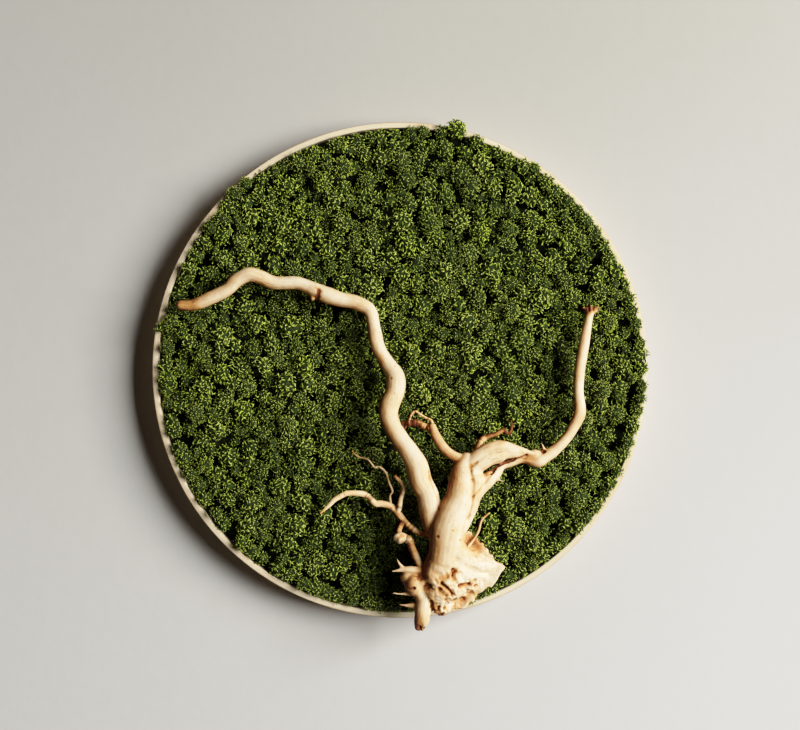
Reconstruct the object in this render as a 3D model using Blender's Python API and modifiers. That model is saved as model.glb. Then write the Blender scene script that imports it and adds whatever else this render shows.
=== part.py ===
"""Round moss panel: a bentwood hoop round a plywood disc, packed with clumps of reindeer moss, with one piece of
driftwood screwed on through the disc.

Metres, +Z up. The panel hangs in the XZ plane: its back lies on y = 0, its front looks towards -Y, and the origin
is the centre of its back.
"""

import math
import random

import bmesh
import bpy
from mathutils import Matrix, Vector

# Panel
OUTER_RADIUS = 0.300
HOOP_WALL = 0.007
HOOP_DEPTH = 0.042
HOOP_EDGE = 0.0014
SEGMENTS = 80
BOARD_THICKNESS = 0.010
GAP = 0.0003
CUT_BEYOND = 0.001

# Moss
CLUMP_PLACE_SEED = 11
CLUMP_CROWN_SEED = 5
CLUMP_RINGS = ((1, 0.0), (6, 0.092), (12, 0.172), (17, 0.253))
CLUMP_SPREAD = 0.009
CLUMP_GAP = 0.0012
CLUMP_SHOULDER = 0.036
CLUMP_CROWN = 0.061
CLUMP_CROWN_VARIES = 0.004
CLUMP_RINGS_UP = ((0.45, 0.95), (0.80, 0.84), (0.97, 0.58))
CELL_BLOCK_WIDTH = 0.3
RIM_TANGENTS_EACH_SIDE = 5
RIM_TANGENT_STEP = math.radians(7.5)
RIM_CLEARANCE_WIDTH = 0.05
MOSS_OVER_RIM = (
    # direction in degrees, reach over the hoop, spread in degrees
    (78, 0.009, 10),
    (-2, 0.010, 20),
    (35, 0.005, 25),
    (-35, 0.004, 12),
)
LEAST_OVERHANG = 0.0015
OVER_RIM_BEYOND = 0.215

# Hangers
HANGER_X = 0.120
HANGER_Z = 0.150
PLATE_LENGTH = 0.050
PLATE_WIDTH = 0.018
PLATE_THICKNESS = 0.0015
PLATE_SCREW_SPACING = 0.040
KEYHOLE_ENTRY_RADIUS = 0.0046
KEYHOLE_SLOT = 0.0052
KEYHOLE_ENTRY_Z = -0.005
KEYHOLE_TOP_Z = 0.008
POCKET_WIDTH = 0.0125
POCKET_FLOOR = 0.0076
ROUND_STEPS = 12

# Screws: head radius, shank radius, length
PLATE_SCREW = (0.0033, 0.0016, 0.0090)
BURL_SCREW = (0.0042, 0.0022, 0.0380)
BURL_SCREW_PLACES = ((0.050, -0.250), (0.082, -0.254))
HEAD_BELOW_FACE = 0.0002
HEAD_HOLE_BEYOND = 0.002
POINT_RADIUS_SHARE = 0.4
POINT_LENGTH_SHARE = 1.5

# Driftwood: each route is a list of (x, y, z, radius) along the wood
ROUTE_STEP = 0.012
THIN_STEP = 0.007
BURL_SEED = (0.066, -0.247)
NECK_FRONT = 0.074
NECK_GAP = 0.0030
NECK_REACH = 0.285

TRUNK = (
    (0.050, -0.096, -0.225, 0.0175),
    (0.053, -0.099, -0.207, 0.0190),
    (0.055, -0.101, -0.189, 0.0200),
    (0.061, -0.101, -0.170, 0.0185),
    (0.069, -0.100, -0.153, 0.0165),
    (0.072, -0.098, -0.134, 0.0150),
    (0.074, -0.095, -0.117, 0.0120),
    (0.080, -0.092, -0.106, 0.0100),
)
LEFT_BRANCH = (
    (-0.263, -0.070, 0.077, 0.0060),
    (-0.246, -0.071, 0.078, 0.0070),
    (-0.226, -0.072, 0.086, 0.0080),
    (-0.206, -0.073, 0.096, 0.0080),
    (-0.196, -0.074, 0.106, 0.0085),
    (-0.180, -0.075, 0.114, 0.0090),
    (-0.165, -0.074, 0.110, 0.0085),
    (-0.150, -0.073, 0.104, 0.0080),
    (-0.124, -0.073, 0.104, 0.0078),
    (-0.110, -0.073, 0.099, 0.0082),
    (-0.100, -0.074, 0.095, 0.0092),
    (-0.086, -0.075, 0.089, 0.0100),
    (-0.070, -0.074, 0.084, 0.0090),
    (-0.055, -0.073, 0.081, 0.0088),
    (-0.041, -0.073, 0.075, 0.0085),
    (-0.035, -0.074, 0.068, 0.0080),
    (-0.031, -0.075, 0.051, 0.0080),
    (-0.028, -0.077, 0.033, 0.0085),
    (-0.021, -0.079, 0.017, 0.0085),
    (-0.013, -0.081, 0.005, 0.0095),
    (-0.006, -0.083, -0.006, 0.0110),
    (-0.005, -0.085, -0.018, 0.0120),
    (-0.007, -0.087, -0.029, 0.0115),
    (-0.012, -0.089, -0.040, 0.0120),
    (-0.014, -0.091, -0.052, 0.0115),
    (-0.009, -0.093, -0.067, 0.0110),
    (0.001, -0.095, -0.083, 0.0110),
    (0.012, -0.097, -0.098, 0.0120),
    (0.020, -0.097, -0.114, 0.0135),
    (0.024, -0.097, -0.131, 0.0140),
    (0.032, -0.096, -0.146, 0.0130),
    (0.035, -0.095, -0.162, 0.0130),
    (0.037, -0.094, -0.177, 0.0120),
    (0.044, -0.094, -0.194, 0.0115),
)
CURVED_TWIG = (
    (0.078, -0.093, -0.108, 0.0065),
    (0.061, -0.092, -0.100, 0.0060),
    (0.050, -0.090, -0.090, 0.0060),
    (0.042, -0.086, -0.077, 0.0058),
    (0.038, -0.082, -0.067, 0.0050),
)
CURVED_TWIG_CURL = (
    (0.039, -0.083, -0.068, 0.0030),
    (0.037, -0.080, -0.060, 0.0018),
    (0.031, -0.079, -0.057, 0.0015),
    (0.023, -0.078, -0.052, 0.0015),
    (0.018, -0.078, -0.049, 0.0015),
    (0.013, -0.077, -0.054, 0.0014),
    (0.011, -0.077, -0.060, 0.0014),
    (0.005, -0.076, -0.071, 0.0012),
)
CURVED_TWIG_SPUR = (
    (0.038, -0.082, -0.070, 0.0044),
    (0.029, -0.079, -0.067, 0.0040),
    (0.021, -0.078, -0.063, 0.0040),
    (0.013, -0.077, -0.063, 0.0038),
    (0.003, -0.0745, -0.064, 0.0030),
)
RIGHT_STRAND = (
    (0.077, -0.094, -0.187, 0.0030),
    (0.084, -0.094, -0.176, 0.0040),
    (0.089, -0.093, -0.149, 0.0060),
    (0.103, -0.090, -0.131, 0.0090),
    (0.114, -0.087, -0.122, 0.0070),
    (0.121, -0.084, -0.114, 0.0050),
    (0.131, -0.083, -0.111, 0.0045),
    (0.143, -0.083, -0.106, 0.0047),
    (0.153, -0.083, -0.106, 0.0062),
    (0.163, -0.082, -0.108, 0.0085),
    (0.177, -0.081, -0.102, 0.0080),
    (0.192, -0.080, -0.093, 0.0075),
    (0.204, -0.079, -0.081, 0.0073),
    (0.210, -0.078, -0.066, 0.0078),
    (0.215, -0.078, -0.052, 0.0073),
    (0.215, -0.078, -0.034, 0.0070),
    (0.214, -0.078, -0.018, 0.0070),
    (0.215, -0.078, 0.001, 0.0064),
    (0.219, -0.078, 0.019, 0.0058),
    (0.222, -0.077, 0.034, 0.0060),
    (0.223, -0.077, 0.052, 0.0054),
    (0.227, -0.077, 0.065, 0.0050),
    (0.230, -0.077, 0.074, 0.0085),
)
HOOK_TWIG = (
    (0.086, -0.092, -0.112, 0.0045),
    (0.091, -0.091, -0.100, 0.0042),
    (0.094, -0.090, -0.090, 0.0040),
    (0.097, -0.089, -0.084, 0.0040),
    (0.104, -0.087, -0.079, 0.0036),
    (0.114, -0.085, -0.076, 0.0035),
    (0.123, -0.082, -0.072, 0.0025),
    (0.128, -0.081, -0.076, 0.0020),
    (0.132, -0.080, -0.072, 0.0018),
    (0.133, -0.079, -0.065, 0.0013),
    (0.132, -0.078, -0.060, 0.0008),
)
LEFT_TWIG = (
    (0.041, -0.090, -0.198, 0.0038),
    (0.026, -0.086, -0.194, 0.0035),
    (0.019, -0.085, -0.191, 0.0035),
    (0.011, -0.084, -0.185, 0.0035),
    (0.005, -0.083, -0.179, 0.0035),
    (-0.002, -0.082, -0.171, 0.0040),
    (-0.011, -0.080, -0.162, 0.0040),
    (-0.022, -0.079, -0.159, 0.0038),
    (-0.029, -0.078, -0.159, 0.0036),
    (-0.035, -0.077, -0.154, 0.0036),
    (-0.041, -0.076, -0.149, 0.0034),
    (-0.051, -0.075, -0.147, 0.0032),
    (-0.062, -0.074, -0.147, 0.0032),
    (-0.068, -0.073, -0.149, 0.0030),
    (-0.078, -0.072, -0.155, 0.0028),
    (-0.085, -0.071, -0.162, 0.0022),
    (-0.095, -0.070, -0.171, 0.0010),
)
UPRIGHT_TWIG = (
    (-0.003, -0.082, -0.171, 0.0030),
    (-0.001, -0.085, -0.163, 0.0032),
    (0.001, -0.087, -0.152, 0.0026),
    (0.004, -0.088, -0.142, 0.0024),
    (0.002, -0.089, -0.134, 0.0024),
    (-0.006, -0.089, -0.126, 0.0020),
)
WIRY_TWIG = (
    (-0.010, -0.079, -0.164, 0.0016),
    (-0.012, -0.080, -0.150, 0.0014),
    (-0.009, -0.080, -0.144, 0.0014),
    (-0.013, -0.080, -0.134, 0.0013),
    (-0.017, -0.080, -0.122, 0.0013),
    (-0.025, -0.080, -0.115, 0.0012),
    (-0.030, -0.080, -0.116, 0.0012),
    (-0.035, -0.080, -0.110, 0.0011),
    (-0.039, -0.079, -0.106, 0.0010),
    (-0.048, -0.078, -0.104, 0.0010),
    (-0.053, -0.078, -0.101, 0.0009),
    (-0.057, -0.077, -0.097, 0.0008),
)
KNOB_STRUT = (
    (0.003, -0.084, -0.181, 0.0032),
    (-0.001, -0.086, -0.190, 0.0032),
    (-0.001, -0.088, -0.198, 0.0040),
)
KNOB_STEM = (
    (-0.001, -0.088, -0.198, 0.0050),
    (0.009, -0.088, -0.200, 0.0045),
    (0.014, -0.088, -0.210, 0.0045),
    (0.020, -0.088, -0.224, 0.0045),
    (0.027, -0.088, -0.238, 0.0045),
)
KNOB = ((-0.001, -0.088, -0.198), (0.0085, 0.0075, 0.0075))
FINE_SHOOT = (
    (0.061, -0.095, -0.219, 0.0022),
    (0.070, -0.094, -0.219, 0.0020),
    (0.078, -0.092, -0.212, 0.0018),
    (0.087, -0.088, -0.201, 0.0017),
    (0.093, -0.085, -0.191, 0.0016),
    (0.097, -0.081, -0.179, 0.0014),
    (0.105, -0.076, -0.171, 0.0012),
)
BURL_STUB = (
    (0.032, -0.089, -0.262, 0.0110),
    (0.028, -0.090, -0.276, 0.0105),
    (0.028, -0.090, -0.292, 0.0105),
    (0.025, -0.088, -0.303, 0.0095),
    (0.024, -0.087, -0.310, 0.0055),
)
BURL_THORNS = (
    ((0.030, -0.090, -0.240, 0.0070), (0.008, -0.093, -0.236, 0.0040), (-0.010, -0.094, -0.238, 0.0009)),
    ((0.006, -0.092, -0.236, 0.0026), (-0.001, -0.092, -0.229, 0.0018), (-0.004, -0.092, -0.222, 0.0008)),
    ((0.020, -0.090, -0.263, 0.0050), (0.006, -0.091, -0.265, 0.0024), (-0.009, -0.092, -0.264, 0.0009)),
    ((0.026, -0.088, -0.278, 0.0060), (0.012, -0.088, -0.279, 0.0030), (-0.001, -0.088, -0.278, 0.0009)),
)
BURL_LUMPS = (
    # centre, radii
    ((0.058, -0.084, -0.250), (0.038, 0.030, 0.036)),
    ((0.020, -0.089, -0.254), (0.016, 0.016, 0.018)),
    ((0.088, -0.080, -0.262), (0.022, 0.022, 0.020)),
    ((0.050, -0.083, -0.283), (0.018, 0.018, 0.014)),
)
BURL_FLANGE = (
    (0.066, -0.196),
    (0.078, -0.191),
    (0.096, -0.204),
    (0.109, -0.216),
    (0.124, -0.234),
    (0.110, -0.253),
    (0.097, -0.264),
    (0.082, -0.281),
    (0.062, -0.286),
)
BURL_FLANGE_Y = -0.081
BURL_FLANGE_THICKNESS = 0.013
BURL_FLANGE_EDGE = 0.002
WEDGE = (
    (0.080, -0.113),
    (0.090, -0.109),
    (0.101, -0.091),
    (0.120, -0.082),
    (0.135, -0.086),
    (0.159, -0.094),
    (0.147, -0.098),
    (0.130, -0.104),
    (0.114, -0.109),
    (0.103, -0.117),
    (0.090, -0.122),
    (0.080, -0.126),
)
WEDGE_Y = -0.095
WEDGE_THICKNESS = 0.014
WEDGE_EDGE = 0.003

# Colours: linear red, green, blue; roughness; metallic
FINISHES = {
    "birch": ((0.75, 0.56, 0.35), 0.55, 0.0),
    "plywood": ((0.62, 0.46, 0.29), 0.70, 0.0),
    "moss": ((0.075, 0.150, 0.022), 0.95, 0.0),
    "driftwood": ((0.74, 0.52, 0.34), 0.75, 0.0),
    "driftwood_red": ((0.42, 0.20, 0.11), 0.80, 0.0),
    "steel": ((0.60, 0.61, 0.63), 0.35, 1.0),
}
FACE_FORWARD = Matrix.Rotation(math.radians(90), 4, "X")


# Scene helpers


def clear_scene():
    for obj in list(bpy.data.objects):
        bpy.data.objects.remove(obj)


def collection(name):
    made = bpy.data.collections.new(name)
    bpy.context.scene.collection.children.link(made)
    return made


def finish(name):
    colour, roughness, metallic = FINISHES[name]
    material = bpy.data.materials.get(name)
    if material is None:
        material = bpy.data.materials.new(name)
        material.use_nodes = True
        shader = material.node_tree.nodes["Principled BSDF"]
        shader.inputs["Base Color"].default_value = (*colour, 1.0)
        shader.inputs["Roughness"].default_value = roughness
        shader.inputs["Metallic"].default_value = metallic
        material.diffuse_color = (*colour, 1.0)
    return material


def add_part(name, mesh, material):
    obj = bpy.data.objects.new(name, mesh)
    obj.data.materials.clear()
    obj.data.materials.append(finish(material))
    PARTS.objects.link(obj)
    return obj


def add_cutter(name, mesh):
    obj = bpy.data.objects.new(name, mesh)
    obj.hide_render = True
    obj.display_type = "WIRE"
    CUTTERS.objects.link(obj)
    return obj


def combine(obj, operation, others):
    """Adds one exact Boolean to obj for each of the other objects."""
    for other in others:
        boolean = obj.modifiers.new(f"{operation.title()} {other.name}", "BOOLEAN")
        boolean.operation = operation
        boolean.object = other


def mesh_from(bm, name):
    mesh = bpy.data.meshes.new(name)
    bm.to_mesh(mesh)
    bm.free()
    return mesh


def mesh_of(source):
    """The evaluated mesh of a scratch object in world space, welded; the object is removed."""
    bpy.context.scene.collection.objects.link(source)
    bpy.context.view_layer.update()
    evaluated = source.evaluated_get(bpy.context.evaluated_depsgraph_get())
    mesh = bpy.data.meshes.new_from_object(evaluated)
    mesh.transform(source.matrix_world)
    bpy.data.objects.remove(source)
    bm = bmesh.new()
    bm.from_mesh(mesh)
    bmesh.ops.remove_doubles(bm, verts=bm.verts, dist=1e-5)
    bmesh.ops.recalc_face_normals(bm, faces=bm.faces)
    bm.to_mesh(mesh)
    bm.free()
    return mesh


# Shapes


def smooth_route(points, step):
    """Points about one step apart on the smooth curve through the given (x, y, z, radius) points."""
    knots = [Vector(p) for p in points]
    knots = [2 * knots[0] - knots[1], *knots, 2 * knots[-1] - knots[-2]]
    found = []
    for before, start, end, after in zip(knots, knots[1:], knots[2:], knots[3:]):
        pieces = max(1, round((end.xyz - start.xyz).length / step))
        for i in range(pieces):
            t = i / pieces
            found.append(
                0.5
                * (
                    2 * start
                    + (end - before) * t
                    + (2 * before - 5 * start + 4 * end - after) * t**2
                    + (3 * start - before - 3 * end + after) * t**3
                )
            )
    found.append(knots[-2])
    return found


def tube_mesh(name, route, step=ROUTE_STEP, grow=0.0):
    """A round tube along a route, its radius grown by a clearance where it serves as a cutter."""
    curve = bpy.data.curves.new(name, "CURVE")
    curve.dimensions = "3D"
    curve.bevel_depth = 1.0
    curve.bevel_resolution = 2
    curve.use_fill_caps = True
    spline = curve.splines.new("POLY")
    points = smooth_route(route, step)
    spline.points.add(len(points) - 1)
    for target, point in zip(spline.points, points):
        target.co = (*point.xyz, 1.0)
        target.radius = point.w + grow
    return mesh_of(bpy.data.objects.new(name, curve))


def outline_mesh(name, outlines, y, thickness, edge=0.0):
    """A flat plate facing -Y: the first outline, less the outlines inside it."""
    curve = bpy.data.curves.new(name, "CURVE")
    curve.dimensions = "2D"
    curve.fill_mode = "BOTH"
    curve.extrude = thickness / 2 - edge
    curve.bevel_depth = edge
    curve.bevel_resolution = 0
    for outline in outlines:
        spline = curve.splines.new("POLY")
        spline.use_cyclic_u = True
        spline.points.add(len(outline) - 1)
        for target, (x, z) in zip(spline.points, outline):
            target.co = (x, z, 0.0, 1.0)
    source = bpy.data.objects.new(name, curve)
    source.matrix_world = Matrix.Translation((0.0, y, 0.0)) @ FACE_FORWARD
    return mesh_of(source)


def arc(centre, radius, start, end, steps):
    """Points on an arc in the XZ plane, angles in degrees."""
    angles = [math.radians(start + (end - start) * i / steps) for i in range(steps + 1)]
    return [(centre[0] + radius * math.cos(a), centre[1] + radius * math.sin(a)) for a in angles]


def stadium(centre, width, bottom, top):
    """An upright outline with round ends, from z = bottom to z = top."""
    x, z = centre
    r = width / 2
    half = ROUND_STEPS // 2
    return arc((x, z + top - r), r, 0, 180, half) + arc((x, z + bottom + r), r, 180, 360, half)


def keyhole(centre):
    """A round entry with a narrower slot above it."""
    x, z = centre
    half = KEYHOLE_SLOT / 2
    entry = (x, z + KEYHOLE_ENTRY_Z)
    corner = math.degrees(math.acos(half / KEYHOLE_ENTRY_RADIUS))
    top = arc((x, z + KEYHOLE_TOP_Z - half), half, 0, 180, ROUND_STEPS // 2)
    return top + arc(entry, KEYHOLE_ENTRY_RADIUS, 180 - corner, 360 + corner, ROUND_STEPS)


def turned_mesh(name, profile, steps, place=(0.0, 0.0, 0.0), ring=False):
    """A turned shape about the Y axis. The profile holds (radius, height in front of the wall), top to bottom."""
    bm = bmesh.new()
    verts = [bm.verts.new((radius, 0.0, height)) for radius, height in profile]
    for start, end in zip(verts, verts[1:]):
        bm.edges.new((start, end))
    if ring:
        bm.edges.new((verts[-1], verts[0]))
    source = bpy.data.objects.new(name, mesh_from(bm, name))
    screw = source.modifiers.new("Turn", "SCREW")
    screw.steps = steps
    screw.render_steps = steps
    screw.use_merge_vertices = True
    screw.merge_threshold = 1e-5
    source.matrix_world = Matrix.Translation(place) @ FACE_FORWARD
    return mesh_of(source)


def lump_mesh(name, centre, radii, subdivisions=2):
    bm = bmesh.new()
    bmesh.ops.create_icosphere(bm, subdivisions=subdivisions, radius=1.0)
    bmesh.ops.scale(bm, vec=radii, verts=bm.verts)
    bmesh.ops.translate(bm, vec=centre, verts=bm.verts)
    return mesh_from(bm, name)


def trim(bm, point, outward):
    """Cuts a closed convex mesh with a plane, drops what lies outward of it, and closes the cut."""
    everything = bm.verts[:] + bm.edges[:] + bm.faces[:]
    cut = bmesh.ops.bisect_plane(
        bm, geom=everything, dist=1e-7, plane_co=point, plane_no=outward, clear_outer=True
    )
    edges = [e for e in cut["geom_cut"] if isinstance(e, bmesh.types.BMEdge)]
    if edges:
        bmesh.ops.edgeloop_fill(bm, edges=edges)


# The panel


def hoop_profile():
    """The strip's section: outer side first, top to bottom, with eased edges."""
    inner = OUTER_RADIUS - HOOP_WALL
    e = HOOP_EDGE
    return (
        (OUTER_RADIUS - e, HOOP_DEPTH),
        (OUTER_RADIUS, HOOP_DEPTH - e),
        (OUTER_RADIUS, e),
        (OUTER_RADIUS - e, 0.0),
        (inner, 0.0),
        (inner, HOOP_DEPTH - e),
        (inner + e, HOOP_DEPTH),
    )


def build_hoop():
    """The bent hoop, with eased edges."""
    add_part("hoop", turned_mesh("hoop", hoop_profile(), SEGMENTS, ring=True), "birch")


def screw_profile(size, grow=0.0):
    """A countersunk screw: head, cone, shank and point; grown, it is the hole that clears it."""
    head, shank, length = size
    face = HEAD_BELOW_FACE - (HEAD_HOLE_BEYOND if grow else 0.0)
    cone = head - shank
    return (
        (0.0, length + grow),
        (shank * POINT_RADIUS_SHARE + grow, length + grow),
        (shank + grow, length - POINT_LENGTH_SHARE * shank),
        (shank + grow, HEAD_BELOW_FACE + cone + grow),
        (head + grow, HEAD_BELOW_FACE + grow),
        (head + grow, face),
        (0.0, face),
    )


def build_screw(name, size, x, z):
    """A screw driven from the back, and the cutter that clears it."""
    place = (x, 0.0, z)
    add_part(name, turned_mesh(name, screw_profile(size), ROUND_STEPS, place), "steel")
    hole = turned_mesh(f"{name}_hole", screw_profile(size, GAP), ROUND_STEPS, place)
    return add_cutter(f"{name}_hole", hole)


def build_back():
    """The board with its hangers and screws. Returns the cutters that clear the two burl screws."""
    holes = []
    for side, sign in (("left", -1), ("right", 1)):
        centre = (sign * HANGER_X, HANGER_Z)
        outline = stadium(centre, PLATE_WIDTH, -PLATE_LENGTH / 2, PLATE_LENGTH / 2)
        name = f"hanger_plate_{side}"
        middle = -(HEAD_BELOW_FACE + PLATE_THICKNESS) / 2
        thickness = PLATE_THICKNESS - HEAD_BELOW_FACE
        plate = add_part(name, outline_mesh(name, [outline, keyhole(centre)], middle, thickness), "steel")
        plate_holes = [
            build_screw(f"plate_screw_{side}_{end}", PLATE_SCREW, centre[0], centre[1] + z)
            for end, z in (("lower", -PLATE_SCREW_SPACING / 2), ("upper", PLATE_SCREW_SPACING / 2))
        ]
        combine(plate, "DIFFERENCE", plate_holes)
        recess = stadium(centre, PLATE_WIDTH + 2 * GAP, -PLATE_LENGTH / 2 - GAP, PLATE_LENGTH / 2 + GAP)
        pocket_reach = POCKET_WIDTH / 2
        pocket = stadium(
            centre, POCKET_WIDTH, KEYHOLE_ENTRY_Z - pocket_reach, KEYHOLE_TOP_Z - KEYHOLE_SLOT / 2 + pocket_reach
        )
        for kind, shape, depth in (("recess", recess, PLATE_THICKNESS + GAP), ("pocket", pocket, POCKET_FLOOR)):
            # Each cutter starts a little behind the board's face.
            cutter = outline_mesh(f"{name}_{kind}", [shape], (CUT_BEYOND - depth) / 2, depth + CUT_BEYOND)
            holes.append(add_cutter(f"{name}_{kind}", cutter))
        holes += plate_holes
    burl_holes = [
        build_screw(f"burl_screw_{side}", BURL_SCREW, x, z)
        for side, (x, z) in zip(("left", "right"), BURL_SCREW_PLACES)
    ]
    bm = bmesh.new()
    radius = OUTER_RADIUS - HOOP_WALL - 2 * GAP
    bmesh.ops.create_cone(
        bm, cap_ends=True, segments=SEGMENTS, radius1=radius, radius2=radius, depth=BOARD_THICKNESS
    )
    bm.transform(Matrix.Translation((0.0, -BOARD_THICKNESS / 2, 0.0)) @ FACE_FORWARD)
    board = add_part("back_board", mesh_from(bm, "back_board"), "plywood")
    combine(board, "DIFFERENCE", holes + burl_holes)
    return burl_holes


# The moss


def clump_seeds():
    """Places of the clumps in rings, each nudged a little, without the one where the burl meets the board."""
    rng = random.Random(CLUMP_PLACE_SEED)
    seeds = []
    for count, radius in CLUMP_RINGS:
        for i in range(count):
            angle = 2 * math.pi * (i + 0.5 * (count % 2)) / count - math.pi / 2
            x = radius * math.cos(angle) + rng.uniform(-CLUMP_SPREAD, CLUMP_SPREAD)
            z = radius * math.sin(angle) + rng.uniform(-CLUMP_SPREAD, CLUMP_SPREAD)
            seeds.append(Vector((x, 0.0, z)))
    burl = Vector((BURL_SEED[0], 0.0, BURL_SEED[1]))
    nearest = min(seeds, key=lambda seed: (seed - burl).length)
    seeds.remove(nearest)
    return seeds, burl


def overhang(angle):
    """How far the moss leans out over the hoop in a direction."""
    total = 0.0
    for degrees, reach, spread in MOSS_OVER_RIM:
        away = (math.degrees(angle) - degrees + 180) % 360 - 180
        total += reach * math.exp(-((away / spread) ** 2))
    return total


def cell(seed, others, back, front, gap, reach):
    """The convex block nearer to its seed than to the others, from y = -back to y = -front."""
    bm = bmesh.new()
    bmesh.ops.create_cube(bm, size=1.0)
    bmesh.ops.scale(bm, vec=(CELL_BLOCK_WIDTH, front - back, CELL_BLOCK_WIDTH), verts=bm.verts)
    bmesh.ops.translate(bm, vec=seed + Vector((0.0, -(front + back) / 2, 0.0)), verts=bm.verts)
    for other in others:
        towards = (other - seed).normalized()
        trim(bm, (seed + other) / 2 - towards * gap / 2, towards)
    bearing = math.atan2(seed.z, seed.x)
    for i in range(-RIM_TANGENTS_EACH_SIDE, RIM_TANGENTS_EACH_SIDE + 1):
        angle = bearing + i * RIM_TANGENT_STEP
        outward = Vector((math.cos(angle), 0.0, math.sin(angle)))
        trim(bm, outward * reach, outward)
    return bm


def dome(bm, height):
    """Raises the front face of a block into a rounded crown."""
    top = min(bm.faces, key=lambda face: face.normal.y)
    centre = top.calc_center_median()
    risen, width = 0.0, 1.0
    for share, scale in CLUMP_RINGS_UP:
        top = bmesh.ops.extrude_discrete_faces(bm, faces=[top])["faces"][0]
        about = Matrix.Translation(-centre)
        ratio = scale / width
        bmesh.ops.scale(bm, vec=(ratio, 1.0, ratio), space=about, verts=top.verts)
        bmesh.ops.translate(bm, vec=(0.0, (risen - share) * height, 0.0), verts=top.verts)
        risen, width = share, scale
    crown = bmesh.ops.poke(bm, faces=[top])["verts"]
    bmesh.ops.translate(bm, vec=(0.0, (risen - 1.0) * height, 0.0), verts=crown)


def build_moss():
    """Every clump of moss. Returns the clumps' places and the burl's."""
    seeds, burl = clump_seeds()
    rng = random.Random(CLUMP_CROWN_SEED)
    inner = OUTER_RADIUS - HOOP_WALL
    reach_back = BOARD_THICKNESS + GAP
    block = (
        (inner + RIM_CLEARANCE_WIDTH, HOOP_DEPTH + GAP),
        (inner + RIM_CLEARANCE_WIDTH, -CUT_BEYOND),
        (inner - GAP, -CUT_BEYOND),
        (inner - GAP, HOOP_DEPTH + GAP),
    )
    clearance = add_cutter("rim_clearance", turned_mesh("rim_clearance", block, SEGMENTS, ring=True))
    for number, seed in enumerate(seeds, 1):
        crown = CLUMP_CROWN + rng.uniform(-CLUMP_CROWN_VARIES, CLUMP_CROWN_VARIES)
        lean = overhang(math.atan2(seed.z, seed.x))
        over_rim = seed.length > OVER_RIM_BEYOND and lean > LEAST_OVERHANG
        reach = inner + lean if over_rim else inner - 4 * GAP
        others = [other for other in seeds + [burl] if other is not seed]
        bm = cell(seed, others, reach_back, CLUMP_SHOULDER, CLUMP_GAP, reach)
        dome(bm, crown - CLUMP_SHOULDER)
        name = f"moss_clump_{number:02d}"
        clump = add_part(name, mesh_from(bm, name), "moss")
        if over_rim:
            combine(clump, "DIFFERENCE", [clearance])
    return seeds, burl


# The driftwood


def build_branch(name, route, material="driftwood", step=ROUTE_STEP, cleared_by=()):
    """A branch cut back to where it meets the wood it grows from, and a cutter a little thicker than it."""
    branch = add_part(name, tube_mesh(name, route, step), material)
    combine(branch, "DIFFERENCE", cleared_by)
    return branch, add_cutter(f"{name}_clearance", tube_mesh(f"{name}_clearance", route, step, GAP))


def fused_helper(name, mesh):
    """A shape that is only there to be joined to a part."""
    return add_cutter(f"{name}_shape", mesh)


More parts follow.
